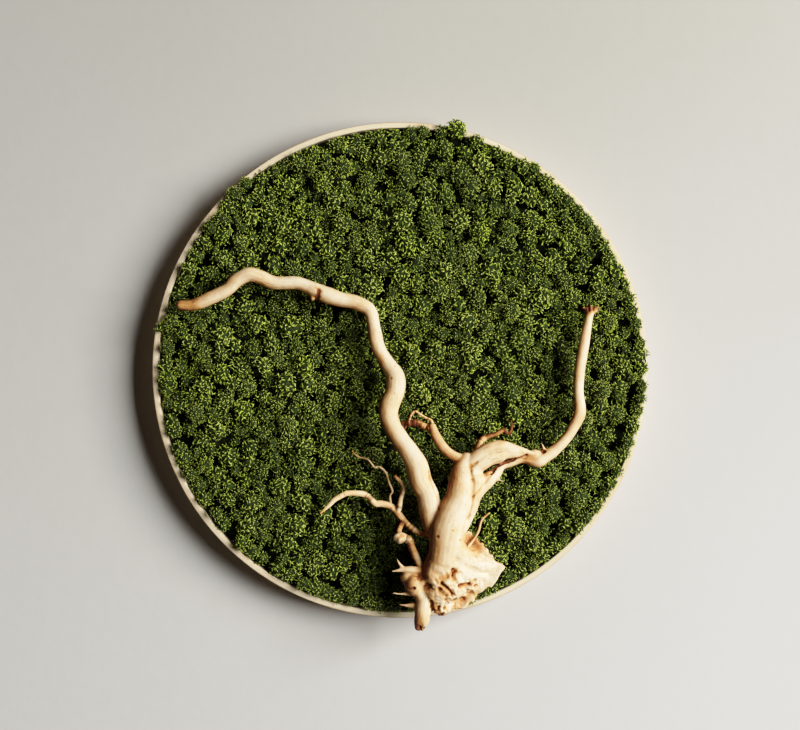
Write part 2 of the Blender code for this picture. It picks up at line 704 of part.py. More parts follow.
def build_driftwood(seeds, burl_seed, burl_holes):
    """The driftwood, split at its main forks, each run cut back where it meets the wood it grows from."""
    trunk, trunk_clear = build_branch("trunk", TRUNK)
    _, left_branch_clear = build_branch("left_branch", LEFT_BRANCH, cleared_by=[trunk_clear])

    curved, _ = build_branch("curved_twig", CURVED_TWIG, cleared_by=[trunk_clear])
    extras = (("curl", CURVED_TWIG_CURL), ("spur", CURVED_TWIG_SPUR))
    combine(curved, "UNION", [fused_helper(f"curved_twig_{n}", tube_mesh(n, r, THIN_STEP)) for n, r in extras])

    wedge_mesh = outline_mesh("right_wedge", [WEDGE], WEDGE_Y, WEDGE_THICKNESS, WEDGE_EDGE)
    wedge = add_part("right_wedge", wedge_mesh, "driftwood")
    combine(wedge, "DIFFERENCE", [trunk_clear])
    grown = outline_mesh("right_wedge_clearance", [WEDGE], WEDGE_Y, WEDGE_THICKNESS + 2 * GAP, WEDGE_EDGE)
    wedge_clear = add_cutter("right_wedge_clearance", grown)
    build_branch("right_branch", RIGHT_STRAND, cleared_by=[trunk_clear, wedge_clear])
    build_branch("hook_twig", HOOK_TWIG, "driftwood_red", THIN_STEP, [trunk_clear, wedge_clear])

    twig_bases = [trunk_clear, left_branch_clear]
    _, left_clear = build_branch("left_twig", LEFT_TWIG, "driftwood", THIN_STEP, twig_bases)
    build_branch("upright_twig", UPRIGHT_TWIG, "driftwood", THIN_STEP, [left_clear])
    build_branch("wiry_twig", WIRY_TWIG, "driftwood", THIN_STEP, [left_clear])
    _, shoot_clear = build_branch("fine_shoot", FINE_SHOOT, "driftwood", THIN_STEP, [trunk_clear])

    knob = add_part("knob_twig", lump_mesh("knob_twig", *KNOB), "driftwood_red")
    routes = (("strut", KNOB_STRUT), ("stem", KNOB_STEM))
    combine(knob, "UNION", [fused_helper(f"knob_{n}", tube_mesh(n, r, THIN_STEP)) for n, r in routes])
    combine(knob, "DIFFERENCE", [left_clear, *twig_bases])
    stem_clear = add_cutter("knob_stem_clearance", tube_mesh("stem", KNOB_STEM, THIN_STEP, GAP))

    neck = cell(burl_seed, seeds, BOARD_THICKNESS + GAP, NECK_FRONT, NECK_GAP, NECK_REACH)
    burl = add_part("root_burl", mesh_from(neck, "root_burl"), "driftwood")
    shapes = [lump_mesh(f"lump_{i}", *lump) for i, lump in enumerate(BURL_LUMPS)]
    shapes.append(outline_mesh("flange", [BURL_FLANGE], BURL_FLANGE_Y, BURL_FLANGE_THICKNESS, BURL_FLANGE_EDGE))
    shapes.append(tube_mesh("stub", BURL_STUB, THIN_STEP))
    shapes += [tube_mesh(f"thorn_{i}", thorn, THIN_STEP) for i, thorn in enumerate(BURL_THORNS)]
    combine(burl, "UNION", [fused_helper(mesh.name, mesh) for mesh in shapes])
    combine(burl, "DIFFERENCE", [trunk_clear, stem_clear, shoot_clear, left_branch_clear, *burl_holes])


clear_scene()
PARTS = collection("moss_panel")
CUTTERS = collection("cutters")
build_hoop()
screw_clearances = build_back()
moss_seeds, burl_place = build_moss()
build_driftwood(moss_seeds, burl_place, screw_clearances)
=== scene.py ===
"""Looks of a round hooped wall panel: preserved moss with a bleached driftwood branch across it."""

import logging
import math
from dataclasses import dataclass
from enum import Enum
from typing import Iterable

import bmesh
import bpy
import numpy as np
from mathutils import Matrix, Vector


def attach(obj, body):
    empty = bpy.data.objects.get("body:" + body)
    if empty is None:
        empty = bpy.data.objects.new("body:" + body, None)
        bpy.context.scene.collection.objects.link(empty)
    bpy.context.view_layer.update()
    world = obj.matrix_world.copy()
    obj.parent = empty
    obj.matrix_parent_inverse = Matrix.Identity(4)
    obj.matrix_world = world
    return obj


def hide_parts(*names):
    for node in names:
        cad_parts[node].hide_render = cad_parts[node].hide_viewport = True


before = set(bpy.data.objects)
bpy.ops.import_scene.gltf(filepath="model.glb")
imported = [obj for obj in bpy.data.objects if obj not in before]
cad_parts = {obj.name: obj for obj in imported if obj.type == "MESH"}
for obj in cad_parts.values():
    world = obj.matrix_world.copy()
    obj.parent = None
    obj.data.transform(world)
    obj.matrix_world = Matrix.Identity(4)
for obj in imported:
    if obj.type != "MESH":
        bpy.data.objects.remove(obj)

LOG = logging.getLogger("moss_panel")
BODY = "root"
MM = 0.001
METRE = 1000.0  # in millimetres
BATCH = 8000  # points measured against every run at a time
RUN_APART = 0.37  # keeps the grain of one run of wood clear of the next
FRONT = np.array((0.0, -1.0, 0.0))
KEY_LIGHT_WAY_FOR_SHADE = np.array((0.73, -0.67, 0.15))  # the key light's direction: wood turned away from it gets painted shade
FACE_FORWARD = Matrix.Rotation(math.radians(90), 4, "X")

Colour = tuple[float, float, float]
Point = tuple[float, float, float]
RoutePoint = tuple[float, float, float, float]
Lump = tuple[Point, Point]
Modifier = tuple[str, dict[str, object]]


class Slot(Enum):
    """The record's material slots, one named for each new piece."""

    HOOP = "birch_hoop"
    MOSS = "moss"
    WOOD = "driftwood"
    RED_WOOD = "driftwood_red"


# Shader helpers


class Value:
    """A number that varies over a surface; arithmetic on it adds Math nodes."""

    def __init__(self, sheet: "Sheet", socket: bpy.types.NodeSocket) -> None:
        """Wraps one output socket of a material sheet."""
        self.sheet = sheet
        self.socket = socket

    def _math(self, operation: str, first: object, second: object) -> "Value":
        """The result of one Math node."""
        made = self.sheet.node("ShaderNodeMath", {"operation": operation}, {0: first, 1: second})
        return Value(self.sheet, made.outputs[0])

    def __add__(self, other: object) -> "Value":
        """Sum."""
        return self._math("ADD", self, other)

    def __radd__(self, other: object) -> "Value":
        """Sum with the number in front."""
        return self._math("ADD", other, self)

    def __sub__(self, other: object) -> "Value":
        """Difference."""
        return self._math("SUBTRACT", self, other)

    def __rsub__(self, other: object) -> "Value":
        """Difference with the number in front."""
        return self._math("SUBTRACT", other, self)

    def __mul__(self, other: object) -> "Value":
        """Product."""
        return self._math("MULTIPLY", self, other)

    def __rmul__(self, other: object) -> "Value":
        """Product with the number in front."""
        return self._math("MULTIPLY", other, self)

    def size(self) -> "Value":
        """The number without its sign."""
        return self._math("ABSOLUTE", self, 0.0)

    def most(self, other: object) -> "Value":
        """The larger of the two."""
        return self._math("MAXIMUM", self, other)

    def step(self, low: float, high: float) -> "Value":
        """A smooth rise from 0 at low to 1 at high.

        Args:
            low: where the rise starts.
            high: where the rise ends; a high below low makes a fall.

        Returns:
            The risen value, from 0 to 1.
        """
        turned = low > high
        start, end = (high, low) if turned else (low, high)
        made = self.sheet.node(
            "ShaderNodeMapRange",
            {"interpolation_type": "SMOOTHSTEP"},
            {"Value": self, "From Min": start, "From Max": end},
        )
        risen = Value(self.sheet, made.outputs[0])
        return 1.0 - risen if turned else risen


class Sheet:
    """One material's node tree, grown a node at a time."""

    def __init__(self, name: str) -> None:
        """Starts the material with its Principled shader.

        Args:
            name: the material's name.
        """
        self.material = bpy.data.materials.new(name)
        self.material.use_nodes = True
        self.tree = self.material.node_tree
        self.shader = self.tree.nodes["Principled BSDF"]
        self._coords: bpy.types.NodeSocket | None = None

    def node(
        self,
        kind: str,
        settings: dict[str, object] | None = None,
        inputs: dict[object, object] | None = None,
    ) -> bpy.types.Node:
        """Adds a node.

        Args:
            kind: the node's type name.
            settings: its properties, set before any socket.
            inputs: sockets by name or number, each a value or a link.

        Returns:
            The node.
        """
        made = self.tree.nodes.new(kind)
        for key, value in (settings or {}).items():
            if key == "stops":
                self._set_stops(made, value)
            else:
                setattr(made, key, value)
        for key, value in (inputs or {}).items():
            self.join(made.inputs[key], value)
        return made

    def join(self, socket: bpy.types.NodeSocket, value: object) -> None:
        """Sets a socket to a value, or links it.

        Args:
            socket: the input socket.
            value: a number, a colour, a Value or an output socket.
        """
        if isinstance(value, Value):
            self.tree.links.new(value.socket, socket)
        elif isinstance(value, bpy.types.NodeSocket):
            self.tree.links.new(value, socket)
        elif isinstance(value, tuple) and socket.type == "RGBA":
            socket.default_value = (*value[:3], 1.0)
        else:
            socket.default_value = value

    @staticmethod
    def _set_stops(made: bpy.types.Node, stops: Iterable[tuple[float, Colour]]) -> None:
        """Fills a colour ramp.

        Args:
            made: the Color Ramp node.
            stops: positions and colours, in order.
        """
        ramp = made.color_ramp
        stops = list(stops)
        while len(ramp.elements) < len(stops):
            ramp.elements.new(1.0)
        for element, (place, colour) in zip(ramp.elements, stops):
            element.position = place
            element.color = (*colour, 1.0)

    def coords(self) -> bpy.types.NodeSocket:
        """The piece's own Object coordinates, in metres."""
        if self._coords is None:
            self._coords = self.node("ShaderNodeTexCoord").outputs["Object"]
        return self._coords

    def attribute(self, name: str) -> bpy.types.Node:
        """The node that reads a stored attribute."""
        return self.node("ShaderNodeAttribute", {"attribute_name": name})

    def number(self, name: str) -> Value:
        """A stored number."""
        return Value(self, self.attribute(name).outputs["Fac"])

    def stretched(self, vector: bpy.types.NodeSocket, scale: Point) -> bpy.types.NodeSocket:
        """A vector with each part scaled by its own factor."""
        made = self.node("ShaderNodeVectorMath", {"operation": "MULTIPLY"}, {0: vector, 1: scale})
        return made.outputs["Vector"]

    def parts(self, vector: bpy.types.NodeSocket) -> tuple[Value, Value, Value]:
        """A vector's three parts."""
        made = self.node("ShaderNodeSeparateXYZ", None, {0: vector})
        return tuple(Value(self, socket) for socket in made.outputs)

    def noise(
        self, vector: bpy.types.NodeSocket, scale: float, detail: float = 3.0, twist: float = 0.0
    ) -> Value:
        """Cloudy noise around 0.5: features per unit, finer layers and distortion."""
        inputs = {"Vector": vector, "Scale": scale, "Detail": detail, "Distortion": twist}
        return Value(self, self.node("ShaderNodeTexNoise", None, inputs).outputs[0])

    def cells(self, vector: bpy.types.NodeSocket, scale: float) -> Value:
        """Distance to the nearest of many scattered points, so many per unit."""
        made = self.node("ShaderNodeTexVoronoi", None, {"Vector": vector, "Scale": scale})
        return Value(self, made.outputs["Distance"])

    def mix(self, share: object, low: object, high: object) -> bpy.types.NodeSocket:
        """Two colours mixed: a share of 0 gives low and 1 gives high."""
        return self.node("ShaderNodeMix", {"data_type": "RGBA"}, {0: share, 6: low, 7: high}).outputs[2]

    def ramp(self, value: Value, stops: Iterable[tuple[float, Colour]]) -> bpy.types.NodeSocket:
        """The colour of a ramp, with its stops in order, read at a value."""
        return self.node("ShaderNodeValToRGB", {"stops": stops}, {0: value}).outputs[0]

    def finish(
        self,
        colour: object,
        roughness: object,
        height: Value | None = None,
        relief: float = 0.0,
        **fixed: object,
    ) -> bpy.types.Material:
        """Joins the patterns to the shader.

        Args:
            colour: base colour.
            roughness: roughness.
            height: bump height from 0 to 1, if any.
            relief: how tall a height of 1 stands, in metres.
            **fixed: constants of the shader's other sockets, with _ for a space.

        Returns:
            The material.
        """
        self.join(self.shader.inputs["Base Color"], colour)
        self.join(self.shader.inputs["Roughness"], roughness)
        if height is not None:
            bump = self.node("ShaderNodeBump", None, {"Height": height, "Distance": relief})
            self.join(self.shader.inputs["Normal"], bump.outputs[0])
        for key, value in fixed.items():
            self.join(self.shader.inputs[key.replace("_", " ")], value)
        return self.material


# Finishes


@dataclass(frozen=True)
class MossFinish:
    """Preserved reindeer moss, with painted shade near black low on the sprigs and a partly painted
    highlight at their tips.
    """

    heart: Colour = (0.004, 0.006, 0.001)
    shade: Colour = (0.044, 0.075, 0.004)
    leaf: Colour = (0.310, 0.405, 0.028)
    tip: Colour = (0.830, 0.890, 0.260)
    fresh: Colour = (0.620, 0.790, 0.060)
    dusky: Colour = (0.115, 0.200, 0.035)

    def material(self) -> bpy.types.Material:
        """Builds the material from the tufts' own tip and tone numbers."""
        sheet = Sheet("preserved_moss")
        grain = sheet.noise(sheet.coords(), 420.0, 2.0)
        height = sheet.number("tip") + (grain - 0.5) * 0.35
        # painted shade: the heart and shade colours darken the sprigs' roots and the hearts; the tip
        # colour is partly painted highlight
        stops = ((0.13, self.heart), (0.33, self.shade), (0.57, self.leaf), (0.85, self.tip))
        plain = sheet.ramp(height, stops)
        tone = sheet.number("tone")
        bright = sheet.mix(tone.step(0.15, 1.0) * height.step(0.35, 0.95) * 0.75, plain, self.fresh)
        dull = sheet.mix(tone.step(-0.1, -1.0) * height.step(0.35, 0.95) * 0.75, bright, self.dusky)
        return sheet.finish(dull, 0.82 + grain * 0.12, Specular_IOR_Level=0.25)


@dataclass(frozen=True)
class BedFinish:
    """The near-black bed under the moss, a sheet of painted shade."""

    deep: Colour = (0.004, 0.006, 0.002)
    paler_shade: Colour = (0.016, 0.020, 0.006)

    def material(self) -> bpy.types.Material:
        """Builds the material."""
        sheet = Sheet("moss_shade_bed")
        grain = sheet.noise(sheet.coords(), 260.0, 4.0)
        colour = sheet.mix(grain.step(0.40, 0.70), self.deep, self.paler_shade)
        return sheet.finish(colour, 0.95, grain, 1.5 * MM, Specular_IOR_Level=0.1)


@dataclass(frozen=True)
class DriftwoodFinish:
    """Sun-bleached root wood, redder in its hollows, with painted shade on the sides turned from the
    light.
    """

    name: str = "driftwood_bleached"
    pale: Colour = (0.96, 0.755, 0.51)
    tan: Colour = (0.85, 0.56, 0.285)
    amber: Colour = (0.66, 0.30, 0.085)
    rust: Colour = (0.19, 0.050, 0.014)
    redness: float = 0.0

    def material(self) -> bpy.types.Material:
        """Builds the material from the wood's own grain coordinates and its stored staining, which also
        carries painted shade.
        """
        sheet = Sheet(self.name)
        grain = sheet.attribute("grain").outputs["Vector"]
        streaks = sheet.noise(sheet.stretched(grain, (150.0, 150.0, 11.0)), 1.0, 4.0)
        fibres = sheet.noise(sheet.stretched(grain, (900.0, 900.0, 28.0)), 1.0, 2.0)
        seams = sheet.noise(sheet.stretched(grain, (300.0, 300.0, 7.0)), 1.0, 2.0, 0.4)
        clouds = sheet.noise(sheet.coords(), 26.0, 3.0)
        cracks = ((seams - 0.5).size() * 2.0).step(0.022, 0.0) * clouds.step(0.52, 0.66)
        pores = sheet.cells(sheet.stretched(grain, (420.0, 420.0, 120.0)), 1.0).step(0.16, 0.08)
        pores = pores * sheet.noise(sheet.coords(), 60.0, 2.0).step(0.50, 0.62)
        stain_and_shade = sheet.number("stain_and_shade")
        specks = sheet.noise(sheet.stretched(grain, (520.0, 520.0, 160.0)), 1.0, 3.0)
        warmth = (streaks - 0.5) * 0.42 + (clouds - 0.5) * 0.95 + (specks - 0.5) * 0.50
        warmth = warmth + stain_and_shade * 0.9 + self.redness + 0.17
        stops = ((0.0, self.pale), (0.38, self.tan), (0.72, self.amber), (1.0, self.rust))
        colour = sheet.ramp(warmth + (fibres - 0.5) * 0.30, stops)
        colour = sheet.mix((cracks * 0.8).most(pores * 0.8), colour, self.rust)
        height = fibres * 0.4 + streaks * 0.5 + specks * 0.3 - cracks * 0.9 - pores * 0.7
        return sheet.finish(
            colour, 0.60 + streaks * 0.22 + stain_and_shade * 0.10, height, 0.55 * MM, Specular_IOR_Level=0.35
        )


@dataclass(frozen=True)
class BirchFinish:
    """Bent birch laminations of the hoop."""

    pale: Colour = (0.93, 0.80, 0.56)
    honey: Colour = (0.80, 0.56, 0.29)
    line: Colour = (0.34, 0.14, 0.040)
    joint_angle: float = math.radians(205)
    joint_radius: float = 0.2965
    ply: float = 1.75 * MM

    def material(self) -> bpy.types.Material:
        """Builds the material round the hoop's own axis."""
        sheet = Sheet("bent_birch")
        x, y, z = sheet.parts(sheet.coords())
        flat = sheet.node("ShaderNodeCombineXYZ", None, {0: x, 2: z}).outputs[0]
        length = sheet.node("ShaderNodeVectorMath", {"operation": "LENGTH"}, {0: flat})
        radius = Value(sheet, length.outputs["Value"])
        turn = sheet.node("ShaderNodeMath", {"operation": "ARCTAN2"}, {0: z, 1: x})
        angle = Value(sheet, turn.outputs[0])
        along = sheet.node(
            "ShaderNodeCombineXYZ", None, {0: radius * 1500.0, 1: y * 700.0, 2: angle * 6.0}
        ).outputs[0]
        fibres = sheet.noise(along, 1.0, 4.0)
        broad = sheet.noise(sheet.stretched(along, (0.25, 0.25, 0.6)), 1.0, 3.0)
        plies = radius * (math.tau / self.ply)
        wave = sheet.node("ShaderNodeMath", {"operation": "SINE"}, {0: plies})
        glue = Value(sheet, wave.outputs[0]).step(0.90, 0.995)
        slant = (angle - self.joint_angle) * 0.30 + (radius - self.joint_radius) * 4.0
        joint = slant.size().step(0.0010, 0.0004)
        warmth = (fibres - 0.5) * 1.1 + (broad - 0.5) * 1.6 + 0.30
        colour = sheet.mix(warmth.step(0.0, 0.9), self.pale, self.honey)
        # painted shade: a dark line round the hoop's outer edge
        painted_edge_shade = radius.step(0.2986, 0.2996) * 0.55
        colour = sheet.mix((glue * 0.45).most(joint * 0.8).most(painted_edge_shade), colour, self.line)
        height = fibres * 0.7 - glue * 0.4 - joint
        return sheet.finish(colour, 0.52 + fibres * 0.16, height, 0.25 * MM, Specular_IOR_Level=0.4)


@dataclass(frozen=True)
class PlywoodFinish:
    """The round birch plywood back."""

    pale: Colour = (0.66, 0.48, 0.29)
    dark: Colour = (0.46, 0.29, 0.15)
    knot: Colour = (0.15, 0.065, 0.025)

    def material(self) -> bpy.types.Material:
        """Builds the material with its face grain upright."""
        sheet = Sheet("birch_plywood")
        grain = sheet.stretched(sheet.coords(), (34.0, 60.0, 1.7))
        rings = sheet.noise(grain, 1.0, 4.0, 0.9)
        fine = sheet.noise(sheet.stretched(sheet.coords(), (900.0, 500.0, 16.0)), 1.0, 2.0)
        spots = sheet.cells(sheet.stretched(sheet.coords(), (6.0, 1.0, 4.0)), 1.0).step(0.07, 0.03)
        colour = sheet.mix(rings.step(0.30, 0.72), self.pale, self.dark)
        colour = sheet.mix((fine - 0.5).size() * 0.8, colour, self.dark)
        colour = sheet.mix(spots * 0.8, colour, self.knot)
        return sheet.finish(colour, 0.66 + fine * 0.14, fine * 0.6 + rings * 0.4, 0.15 * MM)


@dataclass(frozen=True)
class SteelFinish:
    """Zinc-plated hanger plates and screws."""

    bright: Colour = (0.62, 0.63, 0.64)
    dull: Colour = (0.40, 0.41, 0.43)

    def material(self) -> bpy.types.Material:
        """Builds the material with its fine scratches."""
        sheet = Sheet("zinc_plated_steel")
        cloud = sheet.noise(sheet.coords(), 140.0, 3.0)
        brush = sheet.noise(sheet.stretched(sheet.coords(), (2600.0, 900.0, 120.0)), 1.0, 2.0)
        colour = sheet.mix(cloud.step(0.35, 0.70), self.bright, self.dull)
        return sheet.finish(colour, 0.26 + cloud * 0.20 + brush * 0.08, brush, 0.03 * MM, Metallic=1.0)


@dataclass(frozen=True)
class PlasterFinish:
    """The painted wall and floor, seen only from their front."""

    name: str
    paint: Colour

    def material(self) -> bpy.types.Material:
        """Builds the material, clear from behind."""
        sheet = Sheet(self.name)
        coat = sheet.noise(sheet.coords(), 55.0, 5.0)
        cloud = sheet.noise(sheet.coords(), 1.6, 3.0)
        darker = tuple(part * share for part, share in zip(self.paint, (0.66, 0.645, 0.59)))
        height = sheet.parts(sheet.coords())[2]
        # the height term is painted shade: the wall is darker towards the top
        shade = cloud.step(0.30, 0.70) * 0.10 + (coat - 0.5) * 0.08 + height.step(-0.6, 0.7) * 0.9
        colour = sheet.mix(shade, self.paint, darker)
        sheet.finish(colour, 0.9, coat, 0.25 * MM, Specular_IOR_Level=0.15)
        side = sheet.node("ShaderNodeNewGeometry").outputs["Backfacing"]
        clear = sheet.node("ShaderNodeBsdfTransparent").outputs[0]
        both = sheet.node(
            "ShaderNodeMixShader", None, {0: side, 1: sheet.shader.outputs[0], 2: clear}
        )
        output = sheet.tree.nodes["Material Output"]
        sheet.join(output.inputs["Surface"], both.outputs[0])
        return sheet.material


# Mesh helpers


class ValueNoise:
    """Smooth seeded noise in space, from -1 to 1."""

    TABLE = 8192
    PRIMES = (73856093, 19349663, 83492791)

    def __init__(self, seed: int) -> None:
        """Fills the table of random values."""
        self.table = np.random.default_rng(seed).uniform(-1.0, 1.0, self.TABLE)

    def at(self, points: np.ndarray) -> np.ndarray:
        """Noise at points one unit apart from independent.

        Args:
            points: n by 3 places.

        Returns:
            n values.
        """
        cell = np.floor(points).astype(np.int64)
        part = points - cell
        part = part * part * (3.0 - 2.0 * part)
        total = np.zeros(len(points))
        for corner in np.ndindex(2, 2, 2):
            key = np.zeros(len(points), np.int64)
            share = np.ones(len(points))
            for axis, prime in enumerate(self.PRIMES):
                key ^= (cell[:, axis] + corner[axis]) * prime
                share = share * (part[:, axis] if corner[axis] else 1.0 - part[:, axis])
            total += share * self.table[key & (self.TABLE - 1)]
        return total

    def layers(self, points: np.ndarray, count: int = 3) -> np.ndarray:
        """Several finer layers added together, about -1 to 1."""
        return sum(self.at(points * 2.0**k + 17.3 * k) * 0.5**k for k in range(count)) / 1.6


def mesh_from(bm: bmesh.types.BMesh, name: str) -> bpy.types.Mesh:
    """Closes a bmesh into a mesh whose faces point outwards.

    Args:
        bm: the bmesh, which is freed.
        name: the mesh's name.

    Returns:
        The mesh.
    """
    bmesh.ops.recalc_face_normals(bm, faces=bm.faces)
    mesh = bpy.data.meshes.new(name)
    bm.to_mesh(mesh)
    bm.free()
    return mesh


def arrays_of(bm: bmesh.types.BMesh) -> tuple[np.ndarray, np.ndarray]:
    """A bmesh's vertex places and triangles, with their corners numbered; the bmesh is freed."""
    bm.verts.index_update()
    points = np.array([vert.co[:] for vert in bm.verts])
    faces = np.array([[vert.index for vert in face.verts] for face in bm.faces])
    bm.free()
    return points, faces


def verts_of(parts: Iterable[object]) -> list[bmesh.types.BMVert]:
    """The vertices among the parts that a bmesh operator made."""
    return [part for part in parts if isinstance(part, bmesh.types.BMVert)]


def unit(vectors: np.ndarray) -> np.ndarray:
    """Rows of an array, each brought to a length of 1."""
    return vectors / np.maximum(np.linalg.norm(vectors, axis=1, keepdims=True), 1e-6)


def place(
    mesh: bpy.types.Mesh,
    name: str,
    material: bpy.types.Material,
    slot: Slot,
    replaced: Iterable[str] = (),
) -> None:
    """Puts a mesh into the scene as a piece of the panel.

    Args:
        mesh: its mesh, already in place.
        name: the piece's name.
        material: its finish.
        slot: the record's material slot; not used.
        replaced: CAD nodes it stands for.
    """
    mesh.materials.clear()
    mesh.materials.append(material)
    mesh.polygons.foreach_set("use_smooth", np.full(len(mesh.polygons), True))
    obj = bpy.data.objects.new(name, mesh)
    bpy.context.scene.collection.objects.link(obj)
    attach(obj, BODY)
    nodes = list(replaced)
    if nodes:
        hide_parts(*nodes)
    LOG.info("%s: %d faces, for %s", name, len(mesh.polygons), ", ".join(nodes) or "no node")


def evaluated_mesh(mesh: bpy.types.Mesh, modifiers: Iterable[Modifier]) -> bpy.types.Mesh:
    """A mesh with modifiers applied.

    Args:
        mesh: the starting mesh.
        modifiers: each modifier's type and settings, in order.

    Returns:
        The resulting mesh.
    """
    holder = bpy.data.objects.new(mesh.name, mesh)
    bpy.context.scene.collection.objects.link(holder)
    for kind, settings in modifiers:
        modifier = holder.modifiers.new(kind.lower(), kind)
        for key, value in settings.items():
            setattr(modifier, key, value)
    graph = bpy.context.evaluated_depsgraph_get()
    made = bpy.data.meshes.new_from_object(holder.evaluated_get(graph))
    bpy.data.objects.remove(holder)
    return made


def points_of(mesh: bpy.types.Mesh, what: str = "co") -> np.ndarray:
    """A mesh's vertex places or normals as an n by 3 array."""
    flat = np.empty(len(mesh.vertices) * 3, np.float32)
    mesh.vertices.foreach_get(what, flat)
    return flat.reshape(-1, 3).astype(np.float64)


def move_points(mesh: bpy.types.Mesh, points: np.ndarray) -> None:
    """Sets a mesh's vertex places."""
    mesh.vertices.foreach_set("co", points.astype(np.float32).ravel())
    mesh.update()


def store(mesh: bpy.types.Mesh, name: str, values: np.ndarray) -> None:
    """Stores a number or a vector for each vertex.

    Args:
        mesh: the mesh.
        name: the attribute's name.
        values: n numbers, or n by 3.
    """
    vector = values.ndim == 2
    layer = mesh.attributes.new(name, "FLOAT_VECTOR" if vector else "FLOAT", "POINT")
    layer.data.foreach_set("vector" if vector else "value", values.astype(np.float32).ravel())


def fade(distance: np.ndarray, reach: object) -> np.ndarray:
    """1 at no distance, falling smoothly to 0 at reach."""
    near = np.clip(1.0 - distance / reach, 0.0, 1.0)
    return near * near * (3.0 - 2.0 * near)


# Hoop, back and hangers


@dataclass
class Hoop:
    """The bent birch hoop round the panel."""

    outer: float = 0.300
    wall: float = 0.007
    depth: float = 0.042
    edge: float = 0.0014
    steps: int = 288

    def build(self) -> bpy.types.Mesh:
        """Spins the hoop's eased section round the panel's axis.

        Returns:
            The hoop's mesh.
        """
        bm = bmesh.new()
        middle = Matrix.Translation((self.outer - self.wall / 2, -self.depth / 2, 0))
        size = Matrix.Diagonal((self.wall / 2, self.depth / 2, 1, 1))
        bmesh.ops.create_grid(bm, x_segments=1, y_segments=1, size=1.0, matrix=middle @ size)
        bmesh.ops.bevel(
            bm,
            geom=bm.verts[:],
            offset=self.edge,
            offset_type="OFFSET",
            segments=3,
            profile=0.5,
            affect="VERTICES",
            material=-1,
        )
        bmesh.ops.spin(
            bm,
            geom=bm.faces[:] + bm.edges[:] + bm.verts[:],
            cent=(0, 0, 0),
            axis=(0, 1, 0),
            angle=math.tau,
            steps=self.steps,
            use_merge=True,
        )
        loose = [face for face in bm.faces if len(face.verts) > 4]
        bmesh.ops.delete(bm, geom=loose, context="FACES_ONLY")
        bmesh.ops.remove_doubles(bm, verts=bm.verts, dist=1e-6)
        return mesh_from(bm, "hoop_bent")

    def dress(self) -> None:
        """Puts the hoop in the scene."""
        place(self.build(), "bent_hoop", BirchFinish().material(), Slot.HOOP, ["hoop"])


@dataclass
class Back:
    """The plywood board and its hanging hardware, which keep their shapes."""

    board: str = "back_board"

    def dress(self) -> None:
        """Gives the kept nodes their finishes."""
        plywood = PlywoodFinish().material()
        steel = SteelFinish().material()
        for name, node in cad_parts.items():
            if name == self.board:
                finish = plywood
            elif name.startswith(("hanger_plate", "plate_screw", "burl_screw")):
                finish = steel
            else:
                continue
            node.data.materials.clear()
            node.data.materials.append(finish)
            LOG.info("%s: kept, new finish", name)


# Moss


@dataclass
class Sprig:
    """One forked sprig of moss: three curling fingers from one root, in units of its length."""

    rng: np.random.Generator
    curl: float
    fingers: int = 3
    thick: float = 0.092
    thin: float = 0.060
    rings: tuple[float, float, float] = (0.25, 0.56, 0.86)

    def path(self, turn: float, height: float) -> tuple[Vector, Vector]:
        """A point on a finger that bends over as it rises.

        Args:
            turn: the way it bends, about the sprig's axis.
            height: distance along it from 0 to 1.

        Returns:
            The point and the finger's direction there.
        """
        spot, way = Vector(), Vector((0, 0, 1))
        steps = 12
        for k in range(round(steps * height)):
            share = (k + 0.5) / steps
            tilt = 0.20 + self.curl * share**0.8
            around = turn + 0.9 * self.curl * (share - 0.3)
            flat = math.sin(tilt)
            way = Vector((flat * math.cos(around), flat * math.sin(around), math.cos(tilt)))
            spot = spot + way / steps
        return spot, way

    def build(self) -> tuple[np.ndarray, np.ndarray, np.ndarray]:
        """Shapes the fingers.

        Returns:
            Vertex places, triangles, and each vertex's height along its finger from 0 to 1.
        """
        bm = bmesh.new()
        heights = bm.verts.layers.float.new("tip")
        first = self.rng.uniform(0, math.tau)
        for k in range(self.fingers):
            made = bmesh.ops.create_cone(
                bm,
                cap_ends=True,
                cap_tris=True,
                segments=3,
                radius1=self.thick,
                radius2=self.thin,
                depth=1.0,
            )
            edges = list({edge for vert in made["verts"] for edge in vert.link_edges})
            faces = list({face for vert in made["verts"] for face in vert.link_faces})
            whole = [*made["verts"], *edges, *faces]
            cut = bmesh.ops.bisect_plane(bm, geom=whole, plane_co=(0, 0, 0), plane_no=(0, 0, 1))
            middle = verts_of(cut["geom_cut"])
            turn = first + math.tau * k / self.fingers + self.rng.uniform(-0.5, 0.5)
            tall = self.rng.uniform(0.75, 1.10)
            for vert in [*made["verts"], *middle]:
                on_axis = vert.co.xy.length < 1e-4
                level = round(vert.co.z * 2) + 1
                height = level / 2 if on_axis else self.rings[level]
                spot, way = self.path(turn, height)
                flat = Vector((vert.co.x, vert.co.y, 0))
                vert.co = spot * tall + way.to_track_quat("Z", "Y") @ flat
                vert[heights] = height
        bmesh.ops.triangulate(bm, faces=bm.faces)
        bmesh.ops.recalc_face_normals(bm, faces=bm.faces)
        tips = np.array([vert[heights] for vert in bm.verts])
        return *arrays_of(bm), tips


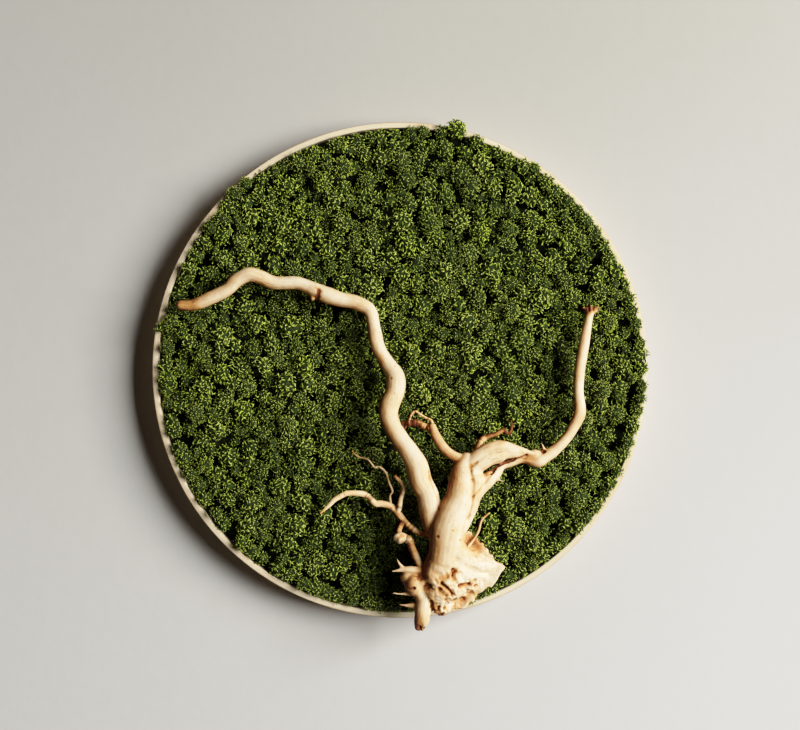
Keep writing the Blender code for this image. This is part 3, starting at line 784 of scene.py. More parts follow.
class Heap:
    """Many small closed shapes, gathered to be joined in one mesh."""

    def __init__(self) -> None:
        """Starts with no shapes."""
        self.places: list[np.ndarray] = []
        self.faces: list[np.ndarray] = []
        self.tips: list[np.ndarray] = []
        self.tones: list[np.ndarray] = []
        self.count = 0

    def add(self, places: np.ndarray, faces: np.ndarray, tips: np.ndarray, tones: np.ndarray) -> None:
        """Adds a batch of shapes.

        Args:
            places: n vertex places.
            faces: triangles, numbered within the batch.
            tips: n heights along the fingers.
            tones: n tones.
        """
        self.places.append(places)
        self.faces.append(faces + self.count)
        self.tips.append(tips)
        self.tones.append(tones)
        self.count += len(places)

    def joined(self, name: str, places: np.ndarray) -> bpy.types.Mesh:
        """Joins the shapes.

        Args:
            name: the mesh's name.
            places: every vertex's final place.

        Returns:
            The mesh.
        """
        corners = np.concatenate(self.faces)
        mesh = bpy.data.meshes.new(name)
        mesh.vertices.add(len(places))
        mesh.vertices.foreach_set("co", places.astype(np.float32).ravel())
        mesh.loops.add(corners.size)
        mesh.loops.foreach_set("vertex_index", corners.astype(np.int32).ravel())
        mesh.polygons.add(len(corners))
        mesh.polygons.foreach_set("loop_start", np.arange(0, corners.size, 3, dtype=np.int32))
        mesh.update(calc_edges=True)
        store(mesh, "tip", np.concatenate(self.tips))
        store(mesh, "tone", np.concatenate(self.tones))
        return mesh


@dataclass
class MossBed:
    """The cushion of moss heads that fills the hoop, one piece for each clump of it."""

    inner: float = 0.2925
    top: float = 0.0560
    swell: float = 0.0045
    warp: float = 0.0050
    core_share: float = 0.74  # a heart's radius against its head's
    # where the hearts sit on the colour ramp, near black: painted shade inside the heads
    heart_tip: float = 0.20
    rooted: float = 0.30  # how much of a sprig is sunk in its head
    root_share: float = 0.80  # how far out in a head the sprigs start
    sprig_length: float = 0.0070
    sprig_area: float = 39.0e-6
    lowest: float = 0.0360  # no sprig grows behind this
    bed_top: float = 0.0300
    board: float = 0.0105
    rim_turn: float = 0.0610
    rim_jitter: float = 0.012
    rim_sizes: tuple[float, float] = (0.0095, 0.0125)
    rim_spacing: float = 0.55
    spacing: tuple[float, float] = (0.68, 0.90)
    crowns: tuple[float, float] = (0.0420, 0.0655)
    edge_from: float = 0.262
    edge_width: float = 0.030
    weaves: tuple[float, float, float] = (0.0, 0.45, 1.0)
    weave_odds: tuple[float, float, float] = (0.30, 0.30, 0.40)
    curls: tuple[float, ...] = (0.5, 0.7, 0.9, 1.2, 1.4, 1.6, 1.8, 2.1)
    neck: tuple[float, float, float] = (0.066, -0.247, 0.030)
    hollow: tuple[float, float, float, float] = (-0.012, -0.242, 0.060, 0.011)
    # direction and half width in degrees, and how far the moss reaches past the hoop's inside
    over_rim: tuple[tuple[float, float, float], ...] = (
        (78.0, 11.0, 0.0085),
        (60.0, 10.0, 0.0035),
        (40.0, 22.0, 0.0050),
        (0.0, 22.0, 0.0090),
        (-30.0, 12.0, 0.0045),
        (100.0, 12.0, -0.0010),
        (131.5, 6.0, 0.0100),
        (144.0, 3.0, 0.0045),
        (-72.0, 5.0, 0.0055),
        (-94.0, 3.0, 0.0045),
    )
    # heads that lean over the hoop: x, z and radius
    strays: tuple[tuple[float, float, float], ...] = (
        (0.0680, 0.2900, 0.0140),
        (0.0912, 0.2757, 0.0112),
        (0.1617, 0.2429, 0.0098),
        (0.1750, 0.2260, 0.0118),
        (-0.2890, 0.0500, 0.0065),
    )
    # least and greatest radius, and how many places are tried
    tiers: tuple[tuple[float, float, int], ...] = (
        (0.0130, 0.0158, 700),
        (0.0108, 0.0130, 3000),
        (0.0088, 0.0108, 12000),
        (0.0072, 0.0088, 24000),
    )
    seed: int = 41

    def reach(self, angle: np.ndarray) -> np.ndarray:
        """How far out the moss may stand in a direction.

        Args:
            angle: directions in radians from the panel's right.

        Returns:
            Distances from the panel's axis.
        """
        total = np.full_like(angle, self.inner)
        for middle, half, extra in self.over_rim:
            apart = np.abs((np.degrees(angle) - middle + 180.0) % 360.0 - 180.0)
            total = total + extra * fade(apart, half * 1.6)
        return total

    def scatter(self) -> dict[str, np.ndarray]:
        """Places the heads, the largest first, until the panel is full.

        Returns:
            Arrays of the heads' middles, radii, axes and tones.
        """
        rng = np.random.default_rng(self.seed)
        noise = ValueNoise(self.seed)
        placed = np.array(self.strays)
        ring = np.arange(0.0, math.tau, self.rim_turn)
        for angle in ring + rng.uniform(-self.rim_jitter, self.rim_jitter, len(ring)):
            size = rng.uniform(*self.rim_sizes)
            out = float(self.reach(np.array([angle]))[0]) - size * 0.98
            x, z = out * math.cos(angle), out * math.sin(angle)
            apart = np.hypot(placed[:, 0] - x, placed[:, 1] - z)
            if (apart > self.rim_spacing * (placed[:, 2] + size)).all():
                placed = np.vstack([placed, (x, z, size)])
        for low, high, tries in self.tiers:
            for _ in range(tries):
                size = rng.uniform(low, high)
                out = math.sqrt(rng.random()) * (self.inner - size)
                angle = rng.uniform(0, math.tau)
                x, z = out * math.cos(angle), out * math.sin(angle)
                apart = np.hypot(placed[:, 0] - x, placed[:, 1] - z)
                if (apart > rng.uniform(*self.spacing) * (placed[:, 2] + size)).all():
                    placed = np.vstack([placed, (x, z, size)])
        x, z, size = placed.T
        away = np.hypot(x - self.neck[0], z - self.neck[1])
        x, z, size = (part[away > self.neck[2]] for part in (x, z, size))
        out = np.hypot(x, z)
        flat = np.stack([x, np.zeros_like(x), z], 1)
        rise = self.swell * noise.layers(flat * 24.0, 2) * 1.6
        rise = rise + rng.normal(0, 0.0036, len(x)) + (size - 0.0115) * 0.9
        edge = np.clip((out - self.edge_from) / self.edge_width, 0, 1)
        crown = np.clip(self.top + rise * (1.0 - 0.5 * edge) - 0.0010 * edge, *self.crowns)
        middle = np.stack([x, -(crown - size), z], 1)
        lean = 0.75 * edge + 0.02
        safe = np.maximum(out, 1e-6)
        axis = np.stack([x / safe * lean, -np.ones_like(x), z / safe * lean], 1)
        axis = unit(axis + rng.normal(0, 0.12, axis.shape))
        hollow = fade(np.hypot(x - self.hollow[0], z - self.hollow[1]), self.hollow[2])
        middle[:, 1] += self.hollow[3] * hollow
        tone = noise.layers(flat * 14.0 + 5.0, 2) * 0.8 + rng.normal(0, 0.38, len(x))
        return {"middle": middle, "size": size, "axis": axis, "tone": np.clip(tone, -1, 1)}

    def core(self) -> tuple[np.ndarray, np.ndarray]:
        """A low ball of unit radius for the heart of a head.

        Returns:
            Vertex places and triangles.
        """
        bm = bmesh.new()
        bmesh.ops.create_icosphere(bm, subdivisions=2, radius=1.0)
        bmesh.ops.recalc_face_normals(bm, faces=bm.faces)
        return arrays_of(bm)

    def grow(self, heads: dict[str, np.ndarray]) -> dict[str, np.ndarray]:
        """Roots sprigs on the open side of every head.

        Args:
            heads: the scattered heads.

        Returns:
            Arrays of the sprigs' places, outward directions, lengths, tones, heads, painted light shares
            and weaves.
        """
        rng = np.random.default_rng(self.seed + 1)
        noise = ValueNoise(self.seed + 2)
        found: list[tuple[np.ndarray, ...]] = []
        golden = math.pi * (3.0 - math.sqrt(5.0))
        middle, size = heads["middle"], heads["size"]
        for k, (axis, tone) in enumerate(zip(heads["axis"], heads["tone"])):
            centre, radius = middle[k], size[k]
            weave = rng.choice(self.weaves, p=self.weave_odds) + rng.uniform(-0.1, 0.1)
            open_weave = 0.74 + 0.46 * weave
            count = int(2 * math.pi * radius**2 * 1.25 / (self.sprig_area * open_weave))
            order = np.arange(count) + 0.5
            rise = 1.0 - 1.30 * order / count
            around = golden * order + rng.uniform(0, math.tau)
            level = np.sqrt(np.maximum(0.0, 1.0 - rise**2))
            local = np.stack([level * np.cos(around), level * np.sin(around), rise], 1)
            local = unit(local + rng.normal(0, 0.07, local.shape))
            turn = np.array(Vector(axis).to_track_quat("Z", "Y").to_matrix())
            way = local @ turn.T
            lump = 1.0 + 0.30 * noise.layers(way * 2.3 + centre * 211.0, 2)
            spot = centre + way * (radius * self.root_share * lump)[:, None]
            outer = centre + way * (radius * lump)[:, None]
            near = np.nonzero(np.linalg.norm(middle - centre, axis=1) < radius + 0.018)[0]
            open_ = outer[:, 1] < -self.lowest
            for other in near:
                if other == k:
                    continue
                open_ &= np.linalg.norm(outer - middle[other], axis=1) > size[other] * 0.86
            keep = np.nonzero(open_)[0]
            length = self.sprig_length * rng.uniform(0.75, 1.25, len(keep)) * (0.72 + 0.38 * weave)
            length *= 0.75 + radius / 0.046
            shade = np.clip(tone + 0.25 * (weave - 0.5) + rng.normal(0, 0.20, len(keep)), -1, 1)
            high = np.clip((-spot[keep, 1] - 0.034) / 0.020, 0, 1)
            # painted shade: sprigs deep in the moss and on the sides of their heads get a smaller share,
            # so their colour stays darker
            age = 0.60 + 0.28 * high + 0.16 * np.clip(way[keep] @ axis, 0, 1)
            rest = np.full(len(keep), k), age, np.full(len(keep), weave)
            found.append((spot[keep], way[keep], length, shade, *rest))
        names = ("spot", "way", "length", "tone", "head", "age", "weave")
        return {name: np.concatenate(part) for name, part in zip(names, zip(*found))}

    @staticmethod
    def turned(way: np.ndarray, roll: np.ndarray) -> np.ndarray:
        """Turning matrices that stand local z along each direction.

        Args:
            way: n unit directions.
            roll: n turns about them.

        Returns:
            n by 3 by 3 matrices whose columns are the local axes.
        """
        upright = np.abs(way[:, 2:3]) >= 0.8
        helper = np.where(upright, np.array([[1.0, 0.0, 0.0]]), np.array([[0.0, 0.0, 1.0]]))
        side = unit(np.cross(helper, way))
        third = np.cross(way, side)
        cos, sin = np.cos(roll)[:, None], np.sin(roll)[:, None]
        return np.stack([side * cos + third * sin, third * cos - side * sin, way], 2)

    def hearts(self, heap: Heap, heads: dict[str, np.ndarray], chosen: np.ndarray) -> None:
        """Adds the low hearts of some heads, coloured near black as painted shade.

        Args:
            heap: where they are gathered.
            heads: the scattered heads.
            chosen: which of them.
        """
        noise = ValueNoise(self.seed + 4)
        ball, faces = self.core()
        for head in chosen:
            radius, centre = heads["size"][head], heads["middle"][head]
            lump = 1.0 + 0.13 * noise.layers(ball * 2.0 + centre * 191.0, 2)
            shape = ball * (radius * self.core_share * lump)[:, None] + centre
            tone = np.full(len(shape), heads["tone"][head])
            heap.add(shape, faces, np.full(len(shape), self.heart_tip), tone)

    def warped(self, places: np.ndarray) -> np.ndarray:
        """Pulls the heads a little out of round, less so near the hoop.

        Args:
            places: n by 3 places.

        Returns:
            The moved places.
        """
        warps = [ValueNoise(self.seed + 10 + axis) for axis in range(3)]
        shift = np.stack([warp.layers(places * 58.0, 2) for warp in warps], 1)
        shift[:, 1] *= 0.6
        inward = self.inner + 0.004 - np.hypot(places[:, 0], places[:, 2])
        near_rim = np.clip(inward / 0.012, 0.25, 1)
        return places + shift * (self.warp * near_rim)[:, None]

    def build(self) -> dict[str, bpy.types.Mesh]:
        """Joins every head's heart and sprigs into one mesh for each clump.

        Returns:
            A mesh for each clump's CAD node.
        """
        heads = self.scatter()
        sprigs = self.grow(heads)
        rng = np.random.default_rng(self.seed + 3)
        kinds = [Sprig(rng, curl).build() for curl in self.curls]
        names = sorted(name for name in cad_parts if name.startswith("moss_clump"))
        seats = np.array([points_of(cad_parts[name].data).mean(0) for name in names])
        flat = heads["middle"][:, None, [0, 2]] - seats[None, :, [0, 2]]
        owner = np.linalg.norm(flat, axis=2).argmin(1)
        kind = rng.integers(0, 4, len(sprigs["spot"])) + np.round(sprigs["weave"] * 4)
        kind = np.clip(kind, 0, len(kinds) - 1)
        roll = rng.uniform(0, math.tau, len(kind))
        stray = (0.14 + 0.26 * sprigs["weave"])[:, None]
        way = unit(sprigs["way"] + rng.normal(0, 1, sprigs["way"].shape) * stray)
        frames = self.turned(way, roll)
        root = sprigs["spot"] - way * (sprigs["length"] * self.rooted)[:, None]
        LOG.info("moss: %d heads, %d sprigs", len(heads["size"]), len(kind))
        meshes = {}
        for k, name in enumerate(names):
            heap = Heap()
            self.hearts(heap, heads, np.nonzero(owner == k)[0])
            mine = owner[sprigs["head"]] == k
            for which, (form, faces, tips) in enumerate(kinds):
                chosen = np.nonzero(mine & (kind == which))[0]
                if not len(chosen):
                    continue
                grown = np.einsum("nij,pj->npi", frames[chosen], form)
                grown = grown * sprigs["length"][chosen][:, None, None] + root[chosen][:, None, :]
                first = np.arange(len(chosen)) * len(form)
                heap.add(
                    grown.reshape(-1, 3),
                    (faces[None] + first[:, None, None]).reshape(-1, 3),
                    (tips[None] * sprigs["age"][chosen][:, None]).ravel(),
                    np.repeat(sprigs["tone"][chosen], len(form)),
                )
            meshes[name] = heap.joined(name + "_grown", self.warped(np.concatenate(heap.places)))
        return meshes

    def shade_bed(self) -> bpy.types.Mesh:
        """The rough near-black bed under the heads, a sheet of painted shade.

        Returns:
            The bed's mesh.
        """
        bm = bmesh.new()
        bmesh.ops.create_circle(
            bm, cap_ends=True, cap_tris=True, segments=96, radius=self.inner - 0.0008, matrix=FACE_FORWARD
        )
        bmesh.ops.subdivide_edges(bm, edges=bm.edges[:], cuts=5, use_grid_fill=True)
        front = verts_of(bmesh.ops.extrude_face_region(bm, geom=bm.faces[:])["geom"])
        bmesh.ops.translate(bm, verts=front, vec=(0, -self.bed_top + self.board, 0))
        bmesh.ops.translate(bm, verts=bm.verts[:], vec=(0, -self.board, 0))
        mesh = mesh_from(bm, "shade_bed")
        points = points_of(mesh)
        rough = ValueNoise(self.seed + 9).layers(points * 120.0, 2)
        inside = (points[:, 1] < -0.02) & (np.hypot(points[:, 0], points[:, 2]) < self.inner - 0.004)
        points[:, 1] -= np.where(inside, 0.0026 * rough, 0.0)
        move_points(mesh, points)
        return mesh

    def dress(self) -> None:
        """Puts every clump and the bed in the scene."""
        finish = MossFinish().material()
        for node, mesh in self.build().items():
            place(mesh, node.replace("clump", "tuft"), finish, Slot.MOSS, [node])
        place(self.shade_bed(), "moss_bed", BedFinish().material(), Slot.MOSS)


# Driftwood


@dataclass(frozen=True)
class Route:
    """A run of wood: x, y, z and radius at points along its middle."""

    points: tuple[RoutePoint, ...]
    round_start: bool = False

    def samples(self, step: float) -> np.ndarray:
        """Evenly spaced smooth samples, with a rounded end and, where it is asked for, a rounded start.

        Args:
            step: distance between samples.

        Returns:
            n by 4 array of x, y, z and radius.
        """
        knots = np.array(self.points)
        padded = np.vstack([2 * knots[0] - knots[1], knots, 2 * knots[-1] - knots[-2]])
        made = []
        for a, b, c, d in zip(padded, padded[1:], padded[2:], padded[3:]):
            count = max(1, round(float(np.linalg.norm((c - b)[:3])) / step))
            t = (np.arange(count) / count)[:, None]
            curve = 2 * b + (c - a) * t + (2 * a - 5 * b + 4 * c - d) * t**2
            made.append(0.5 * (curve + (3 * b - a - 3 * c + d) * t**3))
        line = np.vstack([*made, knots[-1:]])
        line[:, 3] = np.maximum(line[:, 3], 0.0004)
        line = self._rounded(line)
        if self.round_start:
            line = self._rounded(line[::-1])[::-1]
        return line

    @staticmethod
    def _rounded(line: np.ndarray) -> np.ndarray:
        """Adds a rounded cap after the last sample."""
        last, before = line[-1], line[-2]
        way = (last - before)[:3]
        way /= np.linalg.norm(way)
        caps = []
        for turn in np.radians((30, 55, 75)):
            spot = last[:3] + way * last[3] * 0.8 * math.sin(turn)
            caps.append((*spot, last[3] * math.cos(turn)))
        return np.vstack([line, caps])


@dataclass(frozen=True)
class Mark:
    """A groove, pit, knot, stained patch or patch of painted shade on the front of the wood, from one
    point to another.
    """

    x: float
    z: float
    end_x: float
    end_z: float
    reach: float
    depth: float
    stain_and_shade: float

    def strength(self, points: np.ndarray, widen: float = 1.0) -> np.ndarray:
        """How strongly the mark acts at each point, from 0 to 1.

        Args:
            points: n by 3 places.
            widen: a factor on its reach.

        Returns:
            n values.
        """
        start, way = np.array([self.x, self.z]), np.array([self.end_x - self.x, self.end_z - self.z])
        flat = points[:, [0, 2]] - start
        share = np.clip(flat @ way / max(float(way @ way), 1e-12), 0, 1)
        return fade(np.linalg.norm(flat - share[:, None] * way, axis=1), self.reach * widen)


def in_metres(*rows: tuple) -> tuple:
    """Rows of sizes in millimetres, however deeply they are nested, turned to metres."""
    return tuple(in_metres(*row) if isinstance(row, tuple) else row / METRE for row in rows)


def run(*points: RoutePoint, round_start: bool = False) -> Route:
    """A run of wood from points and radii in millimetres."""
    return Route(in_metres(*points), round_start)


def marked(*rows: tuple[float, ...]) -> tuple[Mark, ...]:
    """Marks from rows of six sizes in millimetres and a strength."""
    return tuple(Mark(*in_metres(*row[:6]), row[6]) for row in rows)


TRUNK = run(
    (50, -96, -225, 17.5), (53, -99, -207, 19), (55, -101, -189, 20), (61, -101, -170, 18.5),
    (69, -100, -153, 16.5), (72, -98, -134, 15), (74, -95, -117, 12), (80, -92, -106, 10),
    round_start=True,
)
LEFT_BRANCH = run(
    (-263, -70, 77, 6), (-246, -71, 78, 7), (-226, -72, 86, 8), (-206, -73, 96, 8),
    (-196, -74, 106, 8.5), (-180, -75, 114, 9), (-165, -74, 110, 8.5), (-150, -73, 104, 8),
    (-124, -73, 104, 7.8), (-110, -73, 99, 8.2), (-100, -74, 95, 9.2), (-86, -75, 89, 10),
    (-70, -74, 84, 9), (-55, -73, 81, 8.8), (-41, -73, 75, 8.5), (-35, -74, 68, 8), (-31, -75, 51, 8),
    (-28, -77, 33, 8.5), (-21, -79, 17, 8.5), (-13, -81, 5, 9.5), (-6, -83, -6, 11), (-5, -85, -18, 12),
    (-7, -87, -29, 11.5), (-12, -89, -40, 12), (-14, -91, -52, 11.5), (-9, -93, -67, 11),
    (1, -95, -83, 11), (12, -97, -98, 12), (20, -97, -114, 13.5), (24, -97, -131, 14),
    (32, -96, -146, 13), (35, -95, -162, 13), (37, -94, -177, 12), (44, -94, -194, 11.5),
    round_start=True,
)
CURVED_TWIG = run(
    (78, -93, -108, 6.5), (61, -92, -100, 6), (50, -90, -90, 6), (42, -86, -77, 5.8), (38, -82, -67, 5)
)
RIGHT_STRAND = run(
    (66, -88, -204, 4), (77, -93, -187, 3.8), (86, -94, -168, 4.2), (91, -93, -149, 5.8),
    (103, -90, -131, 9), (114, -87, -122, 7), (121, -84, -114, 5), (131, -83, -111, 4.5),
    (143, -83, -106, 4.7), (153, -83, -106, 6.2), (163, -82, -108, 8.5), (172.5, -81, -103, 7.8),
    (187.3, -80, -92.5, 6.6), (199, -78.5, -79.5, 6.4), (207.1, -77, -66.5, 6.7),
    (213.4, -76, -53.5, 7.3), (214.1, -75, -39.6, 6.8), (212.8, -74.5, -23.8, 6.2), (214, -74, -3, 6.7),
    (217.6, -74, 20, 6.6), (220.4, -74, 36, 6.4), (224, -74, 56, 5.2), (226.2, -74, 66, 5.2),
    (227.5, -74, 71, 6.6),
)
STUB = run(
    (32, -89, -262, 11), (28, -90, -276, 10), (27, -90, -290, 9.8), (25, -88, -299, 8.8),
    (23.5, -87, -305.5, 6.2),
)
THORNS = (
    run((30, -90, -240, 7), (8, -93, -236, 4), (-10, -94, -238, 0.9)),
    run((6, -92, -236, 2.6), (-1, -92, -229, 1.8), (-4, -92, -222, 0.8)),
    run((20, -90, -263, 5), (6, -91, -265, 2.4), (-9, -92, -264, 0.9)),
    run((26, -88, -278, 6), (12, -88, -279, 3), (-1, -88, -278, 0.9)),
)
HOOK_TWIG = run(
    (86, -92, -112, 6), (90, -92, -100, 5), (93, -91, -90, 4.2), (97, -89, -83, 3.5),
    (104, -87, -79, 3.2), (114, -85, -76, 2.9), (123, -82, -71, 2.8), (128, -81, -76, 2),
    (132, -80, -72, 1.8), (133, -79, -65, 1.3), (132, -78, -60, 0.8),
)
CURL_TWIG = (
    run(
        (39, -83, -68, 3), (37, -80, -60, 1.8), (31, -79, -57, 1.5), (23, -78, -52, 1.5),
        (18, -78, -49, 1.5), (13, -77, -54, 1.4), (11, -77, -60, 1.4), (5, -76, -71, 1.2),
    ),
    run(
        (38, -82, -70, 4.4), (29, -79, -67, 4), (21, -78, -63, 4), (13, -77, -63, 3.8),
        (3, -74.5, -64, 3),
    ),
)
LEFT_TWIG = run(
    (41, -90, -198, 3.8), (26, -86, -194, 3.5), (19, -85, -191, 3.5), (11, -84, -185, 3.5),
    (5, -83, -179, 3.5), (-2, -82, -171, 4), (-11, -80, -162, 4), (-22, -79, -159, 3.8),
    (-29, -78, -159, 3.6), (-35, -77, -154, 3.6), (-41, -76, -149, 3.4), (-51, -75, -147, 3.2),
    (-62, -74, -147, 3.2), (-68, -73, -149, 3), (-78, -72, -155, 2.8), (-85, -71, -162, 2.2),
    (-95, -70, -171, 1),
)
UPRIGHT_TWIG = run(
    (-3, -82, -171, 3), (-1, -85, -163, 3.2), (1, -87, -152, 2.6), (4, -88, -142, 2.4),
    (2, -89, -134, 2.4), (-6, -89, -126, 2),
)
WIRY_TWIG = run(
    (-10, -79, -164, 1.6), (-12, -80, -150, 1.4), (-9, -80, -144, 1.4), (-13, -80, -134, 1.3),
    (-17, -80, -122, 1.3), (-25, -80, -115, 1.2), (-30, -80, -116, 1.2), (-35, -80, -110, 1.1),
    (-39, -79, -106, 1), (-48, -78, -104, 1), (-53, -78, -101, 0.9), (-57, -77, -97, 0.8),
)
KNOB_TWIG = (
    run((3, -84, -181, 3.2), (-1, -86, -190, 3.2), (-1, -88, -198, 4)),
    run(
        (-1, -88, -198, 5), (9, -88, -200, 4.5), (14, -88, -210, 4.5), (20, -88, -224, 4.5),
        (27, -88, -238, 4.5),
    ),
)
FINE_SHOOT = run(
    (61, -95, -219, 2.2), (70, -94, -219, 2), (78, -92, -212, 1.8), (87, -88, -201, 1.7),
    (93, -85, -191, 1.6), (97, -81, -179, 1.4), (105, -76, -171, 1.2),
)
FLARES = (
    run(
        (58, -96, -205, 18), (72, -93, -220, 15), (92, -88, -230, 10.5), (108, -84, -233, 6.5),
        (121, -81, -233, 3),
    ),
    run((54, -94, -225, 19), (70, -90, -238, 16), (88, -86, -244, 11), (104, -82, -246, 5.5)),
    run((50, -94, -222, 18.5), (44, -92, -244, 19), (44, -89, -264, 16.5), (50, -86, -280, 9)),
    run((34, -91, -246, 12), (30, -90, -262, 10.5)),
)
WEDGE = (
    run(
        (82, -94, -114, 10.5), (94, -95, -101, 9), (106, -95, -93, 8), (119, -94, -90, 7.8),
        (135, -91, -93, 5.5), (150, -88, -97, 3.5), (160, -86, -101, 3),
    ),
    run(
        (80, -95, -119, 10), (98, -95, -108, 10), (114, -94, -101, 8), (130, -91, -98.5, 6),
        (145, -88, -99, 4),
    ),
    run((84, -96, -118, 11.5), (89, -95, -132, 11), (84, -96, -148, 10.5), (77, -97, -165, 10.5)),
)
PRONGS = (
    run((170, -82, -97, 3), (170.5, -84, -92, 1.8), (167.5, -85, -86.5, 0.7)),
    run((111, -88, -129, 3), (117, -88, -130.5, 1.4), (122.5, -87, -132, 0.6)),
    run((225, -74, 69, 3.4), (220.5, -74.5, 73.5, 2.2), (218, -75, 74.5, 1.4)),
    run((228.5, -74, 69, 3.4), (228, -75, 75, 2), (227.2, -75.5, 77.5, 1.2)),
    run((231, -74, 70, 3.4), (235, -74.5, 74, 2.4), (236.8, -75, 76.5, 1.4)),
)
LUMPS = in_metres(
    ((52, -86, -246), (30, 26, 32)), ((18, -89, -254), (13.5, 15, 15)), ((80, -82, -252), (19, 16, 13)),
    ((49, -83, -281), (12.5, 14, 11)), ((66, -50, -247), (27, 45, 27)),
    ((228.5, -74, 70.5), (8.2, 6.2, 3.4)), ((-104.5, -75, 86), (3.2, 3.4, 3.8)),
    ((10, -86, -246), (10, 11, 9)), ((24, -90, -266), (8.5, 11, 8)), ((27, -91, -250), (10, 12, 12)),
    ((160, -82, -100), (8.5, 7.5, 6)), ((106, -93.5, -101), (21, 9, 11.5)),
    ((126, -91.5, -96), (16, 7, 7.5)), ((83, -96, -126), (12, 11, 14)),
)
FLANGE = in_metres(
    (66, -197), (75, -194), (80, -190), (85.5, -192.5), (87, -198.5), (92.5, -198.5), (93.5, -204.5),
    (99, -205), (100, -211), (105, -212), (105, -218.5), (110.5, -219), (111.5, -225.5), (116, -228.5),
    (121, -230), (126.2, -234.5), (120, -240.5), (116, -248), (108.5, -258.5), (104, -257),
    (98.5, -263.5), (93, -266), (87, -275.5), (82, -277), (75.5, -283.5), (62, -284),
)
ROUGH_PATCHES = marked(
    (38, -252, 88, -254, 22, 0, 1),
    (46, -282, 72, -274, 22, 0, 1),
    (62, -236, 66, -240, 14, 0, 0.6),
    (88, -222, 110, -238, 22, 0, 0.45),
    (14, -256, 22, -248, 18, 0, 0.35),
    (25, -306, 24, -309, 10, 0, 0.8),
)
MARKS = marked(
    (62.3, -237.4, 63.3, -245.5, 5, 5.2, 0.55),
    (48.6, -250.4, 63, -264.7, 3.2, 6.5, 0.95),
    (45, -258, 54, -264, 4.5, 2, 0.45),
    (71.3, -255.6, 81.4, -253.4, 3.4, 5, 0.85),
    (81.4, -253.4, 88.3, -248.8, 3.2, 4.5, 0.8),
    (90.5, -254.9, 89, -256, 4, 5, 0.95),
    (70.2, -276, 75, -273, 7, 2.5, 0.55),
    (45, -280, 44, -284, 3, 4.5, 0.8),
    (52, -284, 53, -280, 3, 4, 0.8),
    (49.5, -289.5, 51, -289, 2.8, 3.5, 0.75),
    (37, -272, 39, -286, 2.6, 4.5, 0.85),
    (16.6, -256.6, 16.6, -256.6, 2.4, 6, 1.1),
    (44.2, -194.5, 44.2, -195, 2.2, 1.4, 0.95),
    (62.3, -187.5, 62.3, -187, 2, 1, 0.8),
    (70, -199, 70.5, -199.3, 1.8, 0.8, 0.6),
    # painted shade: the reddish shade down the left side of the trunk's base
    (29, -222, 27, -242, 9, 0, 0.5),
    (84, -203, 90, -209, 14, 3, 0.6),
    (85, -228, 106, -238, 24, 0, -0.25),
    (18, -256, 20, -250, 16, 0, 0.42),
    (26, -298, 23.5, -307, 15, 0, 0.5),
    (32.5, -118, 42.5, -150, 1.3, 1, 0.6),
    (42.5, -150, 45.5, -164, 1.1, 0.6, 0.45),
    (108.4, -121.7, 114.7, -113, 2.4, 4.5, 1.2),
    (114.7, -113, 133.6, -107.2, 2, 4.5, 1.2),
    (133.6, -107.2, 150, -100, 1.4, 2.2, 0.75),
    (24.5, -307, 25, -310, 1.6, 3, 0.6),
    (29, -305, 29.5, -308, 1.6, 3, 0.6),
    (-96.5, 96, -98.5, 83, 3, 1, 0.9),
    (-94.5, 92, -98.5, 86, 4.8, 0.4, 0.6),
    (-101, 98, -95, 94, 3.4, 0.3, 0.5),
    (-104.5, 86, -104.5, 85, 4.4, 0, 0.45),
    (-22, 17, -22.5, 8, 5, 0, 0.4),
    (-10, -10, -10.5, -11, 1.6, 0.6, 0.8),
    (-6.2, 5.1, -6.2, 4.8, 1.4, 0.6, 0.8),
    (-260, 77, -248, 77, 12, 0, 0.45),
    (220, 73, 237, 73, 8, 0, 0.75),
    (224.5, 79, 225, 70, 1.6, 3, 0.4),
    (231, 79, 230.5, 70, 1.6, 3, 0.4),
    (81.5, -112, 85, -130, 3.6, 2.2, 0.22),
    (85, -130, 85, -150, 3.4, 2, 0.2),
    (40, -70, 62, -100, 12, 0, 0.3),
    (86, -125, 105, -124, 2.2, 1.2, 0.25),
    (90, -108.6, 84, -113.5, 2.4, 1.8, 0.6),
    (108, -124, 87, -149, 1.6, 1.2, 0.4),
    (87, -149, 82, -172, 1.6, 1.4, 0.45),
    (148, -103, 156, -104, 9, 0.4, 0.62),
    (169, -96.5, 171, -95.5, 3, 3.5, 1),
    (169, -96.5, 171, -95.5, 7, 0, 0.45),
    (118, -86, 122, -83, 5, 0, 0.35),
)


def painted_shade_share(normals: np.ndarray) -> np.ndarray:
    """A share of painted shade for each normal: 0 where the wood faces the key light, and 1 where it is
    turned away.
    """
    return np.clip(0.78 - normals @ KEY_LIGHT_WAY_FOR_SHADE, 0, 1)


def route_frames(line: np.ndarray) -> tuple[np.ndarray, np.ndarray, np.ndarray, np.ndarray]:
    """Directions along and across a sampled route.

    Args:
        line: n by 4 samples.

    Returns:
        Tangents, the two cross directions, and distance along.
    """
    way = unit(np.gradient(line[:, :3], axis=0))
    gaps = np.linalg.norm(np.diff(line[:, :3], axis=0), axis=1)
    first = unit(FRONT - way * (way @ FRONT)[:, None])
    second = np.cross(way, first)
    return way, first, second, np.concatenate([[0.0], np.cumsum(gaps)])


